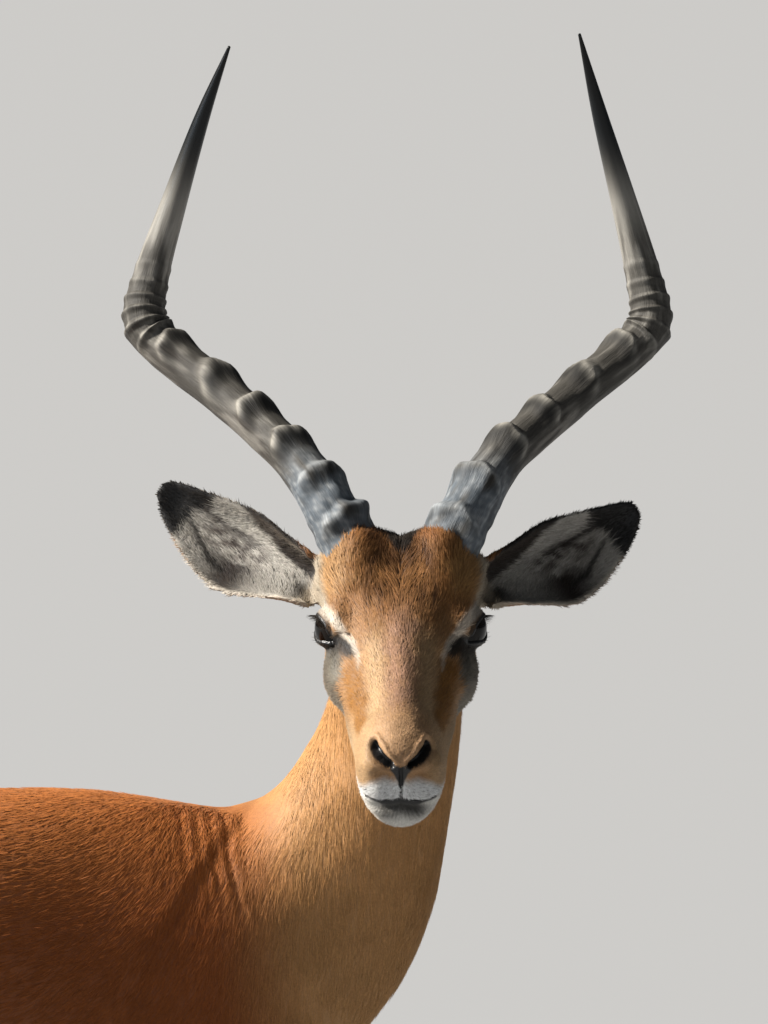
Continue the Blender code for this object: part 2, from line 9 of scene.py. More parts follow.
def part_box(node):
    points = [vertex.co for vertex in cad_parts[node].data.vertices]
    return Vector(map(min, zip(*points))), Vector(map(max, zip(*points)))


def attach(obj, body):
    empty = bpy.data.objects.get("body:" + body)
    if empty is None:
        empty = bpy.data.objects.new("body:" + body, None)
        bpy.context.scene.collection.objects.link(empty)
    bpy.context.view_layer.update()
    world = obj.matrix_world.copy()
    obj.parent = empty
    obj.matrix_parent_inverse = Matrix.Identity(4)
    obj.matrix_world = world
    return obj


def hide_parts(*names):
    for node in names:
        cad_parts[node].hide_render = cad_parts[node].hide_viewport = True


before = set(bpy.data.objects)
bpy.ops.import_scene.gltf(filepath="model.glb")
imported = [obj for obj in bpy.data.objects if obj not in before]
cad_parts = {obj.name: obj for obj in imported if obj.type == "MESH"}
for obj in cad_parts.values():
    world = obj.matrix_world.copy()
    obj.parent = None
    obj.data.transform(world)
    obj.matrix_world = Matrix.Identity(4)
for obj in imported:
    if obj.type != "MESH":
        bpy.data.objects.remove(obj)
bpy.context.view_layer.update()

CHANCE = np.random.default_rng(7)

# The head's own frame: nose along -X and crown along +Z, with its origin at the nose's tip.
# Points there are written (behind the nose, aside, up), and these two flips give either side.
SIDES = {"left": np.array([1, 1, 1]), "right": np.array([1, -1, 1])}
HEAD_PITCH = math.radians(26.0)
EYE_PLACE = np.array([0.152, 0.0465, 0.050])
EYE_OUT = 0.0016
EYE_CENTRE = EYE_PLACE + [0, EYE_OUT, 0]
EYE_RADIUS = 0.0178
EYE_LOOKS = np.array([-0.34, 1.0, 0.06])
SLIT_RUNS = np.array([1.0, 0.34, -0.12])
LID_THICKNESS = 0.0016
# The lids' opening: half its run, and its height above and below, as shares of the eye's radius.
SLIT_HALF, SLIT_ABOVE, SLIT_BELOW = 0.86, 0.53, 0.38
CORNER_DROPS = 0.16

SKIN_VOXEL = 0.0021
CAD_GROWTH = 0.0006
BODY_SKIN_TRIANGLES = 55000
LEGS = ("foreleg_left", "foreleg_right", "hindleg_left", "hindleg_right")
FLESH = ("trunk", "neck", "head", "ear_left", "ear_right", *LEGS)
HORN_FOOT = np.array([0.196, 0.036, 0.092])
CROWN_ROUNDS, SHOULDER_ROUNDS = 160, 150
COAT_DEPTH = {"body": 0.0030, "face": 0.0012, "forehead": 0.0042, "leg": 0.0012, "ear": 0.0006}
# Creases across the shoulder: place along the trunk, and depth.
FOLDS = ((0.193, 0.0011), (0.204, 0.0015), (0.215, 0.0018), (0.227, 0.0027))

# Ears: root, tip and the way the cup opens, in the head's frame on the ear's own side.
EAR_ROOT = np.array([0.214, 0.058, 0.052])
EAR_TIPS = {"right": np.array([0.277, 0.188, 0.105]), "left": np.array([0.270, 0.186, 0.089])}
EAR_OPENS = np.array([-0.80, 0.12, 0.50])
# Share of the length, half width above and below the axis, half angle that the cup wraps.
EAR_ROWS = np.array([
    (0.00, 0.0140, 0.0215, 128.0), (0.12, 0.0150, 0.0250, 112.0), (0.28, 0.0175, 0.0360, 84.0),
    (0.45, 0.0215, 0.0475, 62.0), (0.62, 0.0190, 0.0435, 52.0), (0.80, 0.0140, 0.0315, 44.0),
    (0.93, 0.0105, 0.0195, 38.0), (1.00, 0.0045, 0.0060, 30.0),
])

# Horn centrelines: place behind the nose, then aside, up and half thickness on the right, and on the left.
HORN_ROWS = np.array([
    (0.196, 0.036, 0.092, 0.0235, 0.036, 0.092, 0.0240),
    (0.226, 0.057, 0.119, 0.0210, 0.055, 0.118, 0.0216),
    (0.262, 0.080, 0.135, 0.0182, 0.077, 0.135, 0.0184),
    (0.303, 0.110, 0.144, 0.0174, 0.107, 0.143, 0.0172),
    (0.346, 0.143, 0.152, 0.0170, 0.141, 0.151, 0.0168),
    (0.389, 0.185, 0.165, 0.0174, 0.181, 0.164, 0.0170),
    (0.407, 0.201, 0.181, 0.0176, 0.197, 0.180, 0.0170),
    (0.428, 0.196, 0.210, 0.0146, 0.191, 0.211, 0.0144),
    (0.450, 0.178, 0.263, 0.0106, 0.175, 0.267, 0.0105),
    (0.467, 0.156, 0.328, 0.0063, 0.156, 0.334, 0.0062),
    (0.478, 0.134, 0.386, 0.0012, 0.140, 0.397, 0.0012),
])
HORN_COLUMNS = {"right": [0, 1, 2, 3], "left": [0, 4, 5, 6]}
HORN_STATIONS, HORN_SIDES = 420, 48
STATION_STEP = 0.00128
# Where along the horn each ridge crests, and how proud it is.
HORN_RIDGES = (
    (0.066, 0.80), (0.150, 0.95), (0.240, 1.10), (0.328, 1.10), (0.420, 1.00), (0.500, 0.80),
    (0.555, 0.55), (0.595, 0.50), (0.628, 0.42), (0.660, 0.34), (0.692, 0.25), (0.722, 0.16),
)
RIDGES_END = 0.73
RIDGE_RISES, RIDGE_DROP, RIDGE_HEIGHT, RIDGE_RECEDES = 0.42, 0.24, 0.31, 0.034
RIDGE_FRONT = np.array([-0.45, -0.35, 0.82])

# Lines in the head's frame.
NOSTRIL = (
    (0.0006, 0.0085, 0.0190), (0.0050, 0.0155, 0.0228), (0.0115, 0.0212, 0.0275), (0.0165, 0.0236, 0.0350),
)
MOUTH = (
    (0.0006, 0.0, -0.0105), (0.0016, 0.0070, -0.0132), (0.0045, 0.0150, -0.0150),
    (0.0110, 0.0290, -0.0148), (0.0280, 0.0375, -0.0135), (0.0600, 0.0430, -0.0090),
)
ORANGE = ((0.098, 0.0375, 0.0425), (0.074, 0.0325, 0.0335), (0.050, 0.0295, 0.0255))
EYE_PATCH = (
    (0.130, 0.0520, 0.036), (0.114, 0.0505, 0.026), (0.102, 0.0475, 0.009), (0.096, 0.0450, -0.006),
)
# Lines laid out as the face is seen from ahead: place aside, and height.
UNDER_EYE = ((0.0560, 0.1040), (0.0500, 0.0960), (0.0500, 0.0820))
EYE_CORNER = ((0.0560, 0.1070), (0.0470, 0.1060), (0.0400, 0.1020))
TEAR_DUCT = ((0.0460, 0.1120), (0.0400, 0.1045))
BROW = (
    (0.0650, 0.1480), (0.0620, 0.1370), (0.0508, 0.1245), (0.0420, 0.1140), (0.0358, 0.1070),
    (0.0335, 0.0975), (0.0335, 0.0880),
)


# Numbers.


def ramp(value, start, end):
    """0 before start and 1 past end, with smooth ends."""
    share = np.clip((value - start) / (end - start), 0.0, 1.0)
    return share * share * (3 - 2 * share)


def fade(value, start, end):
    return 1 - ramp(value, start, end)


def within(value, start, full, leaves, end):
    """1 from full to leaves, and 0 before start and past end."""
    return ramp(value, start, full) * fade(value, leaves, end)


def bell(distance, width):
    return np.exp(-((distance / width) ** 2))


def unit(vectors):
    return vectors / np.maximum(np.linalg.norm(vectors, axis=-1, keepdims=True), 1e-9)


def dot(a, b):
    return np.sum(a * b, axis=-1)


def squared_off(ways, normals):
    """Ways laid flat along the surface with these normals."""
    return unit(ways - normals * dot(ways, normals)[..., None])


def away_from(points, place):
    return np.linalg.norm(points - place, axis=1)


def along_line(points, stops):
    """The distance from each point to a line through stops, and the share of the line passed."""
    stops = np.array(stops)
    lengths = np.linalg.norm(np.diff(stops, axis=0), axis=1)
    starts = np.concatenate([[0], np.cumsum(lengths)])
    nearest = np.full(len(points), np.inf)
    share = np.zeros(len(points))
    for i, (a, b) in enumerate(zip(stops, stops[1:])):
        passed = np.clip((points - a) @ (b - a) / lengths[i] ** 2, 0, 1)
        distance = np.linalg.norm(points - a - passed[:, None] * (b - a), axis=1)
        closer = distance < nearest
        nearest[closer] = distance[closer]
        share[closer] = (starts[i] + passed[closer] * lengths[i]) / starts[-1]
    return nearest, share


def waves(points, size, seed):
    """Smooth noise from -1 to 1 with features about size across."""
    turns = np.random.default_rng(seed)
    total = np.zeros(len(points))
    for _ in range(9):
        way = unit(turns.normal(size=3)) / size * turns.uniform(1.6, 4.4)
        total += np.sin(points @ way + turns.uniform(0, 6.28))
    return total / 4.2


def linear(code):
    """An sRGB hex colour as linear numbers."""
    parts = np.array([int(code[i : i + 2], 16) for i in (0, 2, 4)]) / 255
    return np.where(parts <= 0.04045, parts / 12.92, ((parts + 0.055) / 1.055) ** 2.4)


def opaque(code):
    return (*linear(code), 1)


def smooth_rows(rows, count):
    """Rows of numbers read off a smooth curve through the given ones, at even steps."""
    padded = np.vstack([2 * rows[0] - rows[1], rows, 2 * rows[-1] - rows[-2]])
    places = np.linspace(0, len(rows) - 1, count)
    step = np.minimum(places.astype(int), len(rows) - 2)
    t = (places - step)[:, None]
    a, b, c, d = (padded[step + k] for k in range(4))
    square = (2 * a - 5 * b + 4 * c - d) * t**2
    cube = (3 * b - a - 3 * c + d) * t**3
    return (2 * b + (c - a) * t + square + cube) / 2


# Places.


def middle(node):
    low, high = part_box(node)
    return (low + high) / 2


def head_frame():
    """The head's place, read from where its eyes are."""
    left, right = middle("eye_left"), middle("eye_right")
    across = (left - right).normalized()
    turn = math.atan2(-across.x, across.y)
    turned = Matrix.Rotation(turn, 4, "Z") @ Matrix.Rotation(HEAD_PITCH, 4, "Y")
    between = Vector((-EYE_PLACE[0], 0, EYE_PLACE[2]))
    return Matrix.Translation((left + right) / 2) @ turned @ Matrix.Translation(-between)


HEAD = np.array(head_frame())
TO_HEAD = np.linalg.inv(HEAD)
BEHIND_IS_MINUS_X = np.array([-1.0, 1.0, 1.0])
MIDLINE = (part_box("trunk")[0].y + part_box("trunk")[1].y) / 2
HOCK_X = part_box("hindleg_right")[0].x
GLAND = ((HOCK_X + 0.052, 0.185), (HOCK_X + 0.050, 0.140))
EYE_OUTWARD = unit(EYE_LOOKS)
EYE_BACK = squared_off(SLIT_RUNS, EYE_OUTWARD)
EYE_UP = np.cross(EYE_OUTWARD, EYE_BACK)
EYE_UP *= np.sign(EYE_UP[2])


def in_head(points):
    return (points @ TO_HEAD[:3, :3].T + TO_HEAD[:3, 3]) * BEHIND_IS_MINUS_X


def from_head(points):
    return (np.asarray(points) * BEHIND_IS_MINUS_X) @ HEAD[:3, :3].T + HEAD[:3, 3]


def mirrored_in_head(points):
    local = in_head(points)
    local[:, 1] = np.abs(local[:, 1])
    return local


def turned_from_head(ways):
    return (ways * BEHIND_IS_MINUS_X) @ HEAD[:3, :3].T


def turned_in_head(ways):
    return (ways @ TO_HEAD[:3, :3].T) * BEHIND_IS_MINUS_X


def from_eye(local):
    """Reach from the eye's middle, the way there, and how far it points out, back and up."""
    away = local - EYE_CENTRE
    reach = np.linalg.norm(away, axis=1)
    way = away / np.maximum(reach, 1e-6)[:, None]
    return reach, way, way @ EYE_OUTWARD, way @ EYE_BACK, way @ EYE_UP


def lid_arches(run):
    """The heights of the lids' opening, above and below, at a place along it."""
    across = np.clip(np.abs(run) / SLIT_HALF, 0, 1)
    return SLIT_ABOVE * (1 - across**2.2) ** 0.75, SLIT_BELOW * (1 - across**2.0) ** 0.85


def lid_gap(run, rise):
    """How far outside the lids' opening a place is, and its height over the slit."""
    rise = rise + CORNER_DROPS * ramp(-run, 0.45, SLIT_HALF)
    above, below = lid_arches(run)
    gap = np.where(rise > 0, rise - above, -rise - below)
    return np.where(np.abs(run) > SLIT_HALF, np.maximum(gap, np.abs(run) - SLIT_HALF), gap), rise


def head_share(points):
    """How far each point belongs to the head and ears, from 0 to 1."""
    local = in_head(points)
    below_jaw = local[:, 0] * 0.60 - local[:, 2] * 0.80
    return fade(below_jaw, 0.150, 0.172) * (away_from(local, np.array([0.13, 0.0, 0.02])) < 0.30)


def forehead_share(points):
    behind, _, up = in_head(points).T
    return ramp(behind, 0.140, 0.172) * ramp(up, 0.074, 0.092)


def ear_share(points):
    along = EAR_TIPS["left"] - EAR_ROOT
    return ramp((mirrored_in_head(points) - EAR_ROOT) @ along / dot(along, along), 0.02, 0.10)


def tail_share(points):
    x, y, z = points.T
    low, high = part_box("tail")
    inside = (x < low.x + 0.050) & (z < high.z - 0.010) & (z > low.z - 0.02)
    near_root = ramp(low.x + 0.085 - x, 0.0, 0.02) * (z > high.z - 0.05)
    return np.maximum(inside * 1.0, near_root * (np.abs(y - MIDLINE) < 0.022))


def lip_line(side):
    """The height of the mouth's line at a distance aside."""
    return np.interp(side, [0, 0.007, 0.015, 0.029, 0.043], [-0.0105, -0.0132, -0.0150, -0.0148, -0.0120])


def fine_zone(points):
    local = mirrored_in_head(points)
    behind, side, up = local.T
    muzzle = (behind < 0.030) & (up > -0.030) & (up < 0.05) & (side < 0.05)
    return (away_from(local, EYE_CENTRE) < 0.030) | muzzle | (along_line(local, MOUTH)[0] < 0.010)


def folding(points):
    """How far each point lies where the neck's turning creases the coat, from 0 to 1."""
    x, y, z = points.T
    turning_side = ramp(MIDLINE - y, 0.000, 0.025)
    return turning_side * within(z, 0.785, 0.830, 0.872, 0.886) * within(x, 0.165, 0.190, 0.246, 0.262)


# Mesh work.


def read(items, name, size, kind=np.float32):
    found = np.empty(len(items) * size, kind)
    items.foreach_get(name, found)
    return found.reshape(-1, size)


def store(items, name, values, kind=np.float32):
    items.foreach_set(name, np.asarray(values).astype(kind).ravel())


def points_of(mesh):
    return read(mesh.vertices, "co", 3).astype(float)


def normals_of(mesh):
    return read(mesh.vertex_normals, "vector", 3).astype(float)


def set_points(mesh, points):
    store(mesh.vertices, "co", points)
    mesh.update()


def shown(name, data):
    piece = bpy.data.objects.new(name, data)
    bpy.context.scene.collection.objects.link(piece)
    return piece


def paint(mesh, colours):
    layer = mesh.color_attributes.new("Marking", "FLOAT_COLOR", "POINT")
    store(layer.data, "color", np.column_stack([colours, np.ones(len(colours))]))


def keep(mesh, name, values):
    """Gives each point of the mesh a number or a vector of its own."""
    kind, part = ("FLOAT", "value") if values.ndim == 1 else ("FLOAT_VECTOR", "vector")
    store(mesh.attributes.new(name, kind, "POINT").data, part, values)


def mesh_from(name, points, triangles, colours, uv=None, facing=None):
    """A smooth mesh from arrays: points, triangles, point colours, UV for each corner, and normals."""
    mesh = bpy.data.meshes.new(name)
    mesh.vertices.add(len(points))
    store(mesh.vertices, "co", points)
    mesh.loops.add(triangles.size)
    store(mesh.loops, "vertex_index", triangles, np.int32)
    mesh.polygons.add(len(triangles))
    store(mesh.polygons, "loop_start", np.arange(0, triangles.size, 3), np.int32)
    mesh.update(calc_edges=True)
    mesh.shade_smooth()
    paint(mesh, colours)
    if uv is not None:
        store(mesh.uv_layers.new(name="OFBake").uv, "vector", uv)
    if facing is not None:
        mesh.normals_split_custom_set_from_vertices(facing.astype(np.float32).tolist())
    return mesh


def with_modifier(piece, kind, **settings):
    modifier = piece.modifiers.new(kind.title(), kind)
    for name, value in settings.items():
        setattr(modifier, name, value)


def settled(piece):
    """The piece with its modifiers applied."""
    graph = bpy.context.evaluated_depsgraph_get()
    mesh = bpy.data.meshes.new_from_object(piece.evaluated_get(graph), depsgraph=graph)
    piece.modifiers.clear()
    piece.data = mesh
    return piece


def group_of(piece, name, weights, steps=20):
    """A vertex group holding each vertex's weight, in steps."""
    group = piece.vertex_groups.new(name=name)
    levels = np.round(weights * steps).astype(int)
    for level in range(1, steps + 1):
        group.add(np.nonzero(levels == level)[0].tolist(), level / steps, "REPLACE")
    return name


def relaxed(mesh, points, share, rounds):
    """Points drawn towards their neighbours' middle, each by its share."""
    edges = read(mesh.edges, "vertices", 2, np.int32)
    edges = edges[(share[edges] > 0).any(axis=1)]
    first, second = edges.T
    count = np.maximum(np.bincount(edges.ravel(), minlength=len(points)), 1)[:, None]
    for _ in range(rounds):
        total = np.zeros_like(points)
        for axis in range(3):
            total[:, axis] = np.bincount(first, points[second, axis], len(points))
            total[:, axis] += np.bincount(second, points[first, axis], len(points))
        points = points + (total / count - points) * share[:, None]
    return points


def merged_copy(node):
    """A copy of a CAD solid with its loose triangles joined."""
    shape = bmesh.new()
    shape.from_mesh(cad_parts[node].data)
    bmesh.ops.remove_doubles(shape, verts=shape.verts, dist=0.00001)
    return shape


def piece_of(shape, name):
    mesh = bpy.data.meshes.new(name)
    shape.to_mesh(mesh)
    shape.free()
    return shown(name, mesh)


# The skin: one closed form under the whole coat.


def tail_core(sides=12, rings=24):
    """The flesh of the tail, well inside its hair."""
    low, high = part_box("tail")
    shape = bmesh.new()
    rows = []
    for share in np.linspace(0, 1, rings):
        z = high.z - 0.022 - share * (high.z - low.z - 0.085)
        x = low.x + 0.017 + 0.105 * max(0.0, 1 - share / 0.26) ** 2.2
        radius = 0.0125 - 0.0075 * share
        row = []
        for k in range(sides):
            turn = 2 * math.pi * k / sides
            y = (low.y + high.y) / 2 + radius * math.cos(turn)
            row.append(shape.verts.new((x + radius * 0.8 * math.sin(turn), y, z)))
        rows.append(row)
    for upper, lower in zip(rows, rows[1:]):
        for k in range(sides):
            after = (k + 1) % sides
            shape.faces.new((upper[k], lower[k], lower[after], upper[after]))
    shape.faces.new(list(reversed(rows[0])))
    shape.faces.new(rows[-1])
    bmesh.ops.recalc_face_normals(shape, faces=shape.faces)
    return shape


def flesh():
    """The nodes of flesh fused into one closed form, with the lids still shut over the eyes."""
    whole = bmesh.new()
    shapes = [merged_copy(node) for node in FLESH]
    for shape in shapes:
        shape.normal_update()
        grown = [v.co + v.normal * CAD_GROWTH for v in shape.verts]
        for v, place in zip(shape.verts, grown):
            v.co = place
    for shape in (*shapes, tail_core()):
        bridge = bpy.data.meshes.new("bridge")
        shape.to_mesh(bridge)
        shape.free()
        whole.from_mesh(bridge)
        bpy.data.meshes.remove(bridge)
    for flip in SIDES.values():
        place = Matrix.Translation(from_head(EYE_CENTRE * flip))
        radius = EYE_RADIUS + LID_THICKNESS
        bmesh.ops.create_uvsphere(whole, u_segments=32, v_segments=20, radius=radius, matrix=place)
    piece = piece_of(whole, "skin")
    with_modifier(piece, "REMESH", mode="VOXEL", voxel_size=SKIN_VOXEL)
    return settled(piece)


def thinned(piece, fine):
    """The piece with fewer triangles away from its fine parts, and more of them round eyes and lips."""
    kept = (fine > 0.02).sum() * 2
    group_of(piece, "kept", fine)
    with_modifier(
        piece, "DECIMATE", ratio=(kept + BODY_SKIN_TRIANGLES) / (len(piece.data.vertices) * 2),
        use_collapse_triangulate=True, vertex_group="kept", invert_vertex_group=True,
    )
    settled(piece)
    piece.vertex_groups.clear()
    chosen = set(np.nonzero(fine_zone(points_of(piece.data)))[0].tolist())
    shape = bmesh.new()
    shape.from_mesh(piece.data)
    shape.verts.ensure_lookup_table()
    edges = [e for e in shape.edges if all(v.index in chosen for v in e.verts)]
    bmesh.ops.subdivide_edges(shape, edges=edges, cuts=1, use_grid_fill=True)
    bmesh.ops.triangulate(shape, faces=shape.faces)
    shape.to_mesh(piece.data)
    shape.free()


def skin():
    """The skin, and its points before the muzzle's carving."""
    piece = flesh()
    points = points_of(piece.data)
    head = head_share(points)
    trunk = ramp(points[:, 2], 0.48, 0.62) * (1 - head)
    with_modifier(piece, "SMOOTH", factor=0.5, iterations=6)
    for name, weights, rounds in (("legs", 1 - head, 14), ("trunk", trunk, 110)):
        group = group_of(piece, name, weights)
        with_modifier(piece, "SMOOTH", factor=0.5, iterations=rounds, vertex_group=group)
    settled(piece)
    thinned(piece, np.maximum(head, folding(points)))
    mesh = piece.data
    points = points_of(mesh)
    snout = fade(in_head(points)[:, 0], 0.050, 0.085)
    points = relaxed(mesh, points, fine_zone(points) * 0.5, 4)
    points = relaxed(mesh, points, snout * head_share(points) * 0.5, 26)
    points = relaxed(mesh, points, ear_share(points) * 0.5, 5)
    behind, side, up = mirrored_in_head(points).T
    crown = ramp(behind, 0.142, 0.162) * ramp(up, 0.064, 0.078) * fade(behind, 0.215, 0.235)
    crown *= side < 0.07
    points = relaxed(mesh, points, crown * fade(side, 0.020, 0.034) * 0.5, CROWN_ROUNDS)
    points = relaxed(mesh, points, crown * 0.5, 60)
    x, _, z = points.T
    shoulder = within(x, 0.03, 0.08, 0.27, 0.31) * ramp(z, 0.62, 0.68)
    shoulder *= (1 - head_share(points)) * (0.08 + 0.42 * folding(points))
    points = relaxed(mesh, points, shoulder, SHOULDER_ROUNDS)
    set_points(mesh, points)
    normals = normals_of(mesh)
    points = points - normals * (coat_depth(points) + CAD_GROWTH)[:, None]
    points = points + normals * body_folds(points)[:, None]
    points = lids(points)
    corner = EYE_CENTRE + (EYE_OUTWARD * 0.30 - EYE_BACK) * (EYE_RADIUS + 0.0045)
    before_eye = fade(away_from(mirrored_in_head(points), corner), 0.0045, 0.0105)
    rest = relaxed(mesh, points, before_eye * 0.5, 40)
    set_points(mesh, muzzle(rest, normals))
    mesh.shade_smooth()
    return piece, rest


def coat_depth(points):
    head, ear, fore = head_share(points), ear_share(points), forehead_share(points)
    depth = COAT_DEPTH["body"] * (1 - head)
    depth += (COAT_DEPTH["face"] + (COAT_DEPTH["forehead"] - COAT_DEPTH["face"]) * fore) * head
    low = fade(points[:, 2], 0.38, 0.56)
    depth = depth * (1 - low) + COAT_DEPTH["leg"] * low
    return depth * (1 - ear) + COAT_DEPTH["ear"] * ear


def body_folds(points):
    """Upright folds where the neck turns on the trunk."""
    x, _, z = points.T
    lean = x - 0.10 * (0.86 - z) + 0.0016 * np.sin((0.86 - z) * 75)
    folds = np.zeros(len(points))
    for place, deep in FOLDS:
        folds -= deep * bell(lean - place, 0.0034)
        folds += 0.45 * deep * bell(lean - place - 0.0060, 0.0042)
    uneven = 0.75 + 0.45 * waves(points, 0.03, 51)
    return 0.75 * folds * folding(points) * uneven


def lids(points):
    """Lids round an almond opening, with a fold above and the inner corner drawn down."""
    local = in_head(points)
    for flip in SIDES.values():
        reach, way, facing, run, rise = from_eye(local * flip)
        gap, rise = lid_gap(run, rise)
        near = (reach < 0.034) & (facing > -0.15)
        margin = EYE_RADIUS + LID_THICKNESS + 0.0009 * bell(gap - 0.07, 0.06)
        crease = -0.0013 * bell(gap - 0.30, 0.06) * (rise > 0)
        crease -= 0.0007 * bell(gap - 0.34, 0.07) * (rise <= 0)
        onto_ball = fade(gap, 0.22, 0.46) * near
        wanted = reach * (1 - onto_ball) + margin * onto_ball + crease * near
        wanted = np.maximum(wanted, np.minimum(EYE_RADIUS + 0.0010, wanted + 0.004))
        inside = ramp(-gap, -0.01, 0.10) * near * (facing > 0)
        wanted = wanted * (1 - inside) + (EYE_RADIUS - 0.0035) * inside
        mine = near & (local[:, 1] * flip[1] > 0.015)
        local[mine] = ((EYE_CENTRE + way * wanted[:, None]) * flip)[mine]
    return from_head(local)


def muzzle(points, normals):
    """Nostrils, the groove below them, lips, chin and the modelling of cheeks and crown."""
    local = in_head(points)
    mirrored = mirrored_in_head(points)
    behind, side, up = mirrored.T

    slit, passed = along_line(mirrored, NOSTRIL)
    width = 0.0028 + 0.0014 * bell(passed - 0.55, 0.35)
    above = (up - 0.0235 - 0.25 * (side - 0.018)) > 0
    push = -0.0013 * bell(slit - width * 2.0, 0.0017) * np.where(above, 1.0, 0.45)
    push += 0.0022 * bell(side, 0.0013) * within(up, -0.0125, -0.0105, 0.012, 0.020)
    lips, passed = along_line(mirrored, MOUTH)
    push += (0.0040 - 0.0018 * passed) * bell(lips, 0.0017) * fade(passed, 0.90, 1.0)
    under = lip_line(side) - up
    push += 0.0034 * within(under, 0.0, 0.0018, 0.006, 0.0125) * (behind < 0.03) * fade(side, 0.016, 0.030)
    push -= 0.0026 * bell(away_from(mirrored, np.array([0.003, 0.0135, -0.0035])), 0.010)
    push -= 0.0016 * bell(away_from(mirrored, np.array([0.0050, 0.0, -0.0300])), 0.013)
    front = behind < 0.09
    push *= front

    hollow = along_line(mirrored, ((0.122, 0.048, 0.033), (0.098, 0.044, 0.008)))[0]
    push += 0.0022 * bell(hollow, 0.010)
    flank = ((0.100, 0.032, 0.054), (0.082, 0.029, 0.047), (0.052, 0.026, 0.040))
    push += 0.0032 * bell(along_line(mirrored, flank)[0], 0.0110)
    push -= 0.0012 * bell(side, 0.0095) * ramp(up, 0.030, 0.040) * within(behind, 0.030, 0.060, 0.11, 0.14)
    push -= 0.0024 * bell(away_from(mirrored, np.array([0.152, 0.030, 0.078])), 0.018)
    collar = fade(away_from(mirrored, HORN_FOOT), 0.024, 0.062) * fade(behind, 0.205, 0.225)
    push -= 0.0060 * collar * (up > 0.055)
    push -= 0.0020 * bell(side, 0.0170) * within(behind, 0.138, 0.160, 0.196, 0.210) * (up > 0.06)
    push -= 0.0034 * bell(side, 0.0120) * bell(behind - 0.184, 0.0130) * (up > 0.075)

    moved = local - turned_in_head(normals) * push[:, None]
    into = np.tile(unit(np.array([0.80, -0.42, -0.30])), (len(points), 1))
    into[:, 1] *= np.sign(local[:, 1])
    return from_head(moved + into * (0.0085 * bell(slit, width) ** 1.2 * front)[:, None])


# Markings: the same colours for the skin and for the coat over it, with some painted light and shade among
# them.

COAT_DARKER = 0.62
LIGHTER = {"lip": 1.35, "chin": 1.12, "brow": 1.15, "back_ridge": 1.20, "neck": 1.10}
COLOURS = {name: linear(code) * COAT_DARKER * LIGHTER.get(name, 1) for name, code in {
    "saddle": "b4642a", "back_ridge": "c87a3c", "flank": "c08a58", "neck": "d09a60",
    "pale_neck": "dbac76", "belly": "efe8da", "leg": "bd8a58", "shin": "a5754a", "black": "100e0d",
    "face": "b98d60", "forehead": "a2703e", "forehead_gold": "bd9058", "forehead_dark": "5a391f",
    "forehead_red": "884c22", "bridge": "b9917b", "cream": "cbaa80", "orange": "9f6c2b",
    "nose_top": "d0a67c", "lip": "dfe1e2", "chin": "efede6", "chin_dark": "2b2924", "brow": "e6dccd",
    "eye_patch": "7f7a6e", "eye_patch_dark": "2a241f", "temple": "b9b1a0", "cheek": "b8a283",
    "ear_inside": "c6c2ba", "ear_warm": "35241b", "ear_hollow": "1a1512", "ear_back": "b07a4a",
    "ear_edge": "20130c", "nose": "0d0d0e",
}.items()}
HORN_COLOURS = {name: linear(code) for name, code in {
    "valley": "121211", "side": "44423e", "crest": "b4b1a9", "slate": "14181b", "tip": "070809",
    "blue": "5a646e", "fleck": "d2d5d6", "soil": "37302a", "pale": "a9a7a1",
}.items()}
EYE_COLOURS = {"iris": linear("100a06"), "pupil": linear("040303"), "rim": linear("070504")}


def painted(name, count, palette=COLOURS):
    """Colours for a number of points, all the same, and the brush that lays others over them."""
    colours = np.tile(palette[name], (count, 1))
    return colours, brush(colours, palette)


def brush(colours, palette=COLOURS):
    def lay(name, share):
        share = np.clip(share, 0, 1)[:, None]
        colours[:] = colours * (1 - share) + palette[name] * share
    return lay


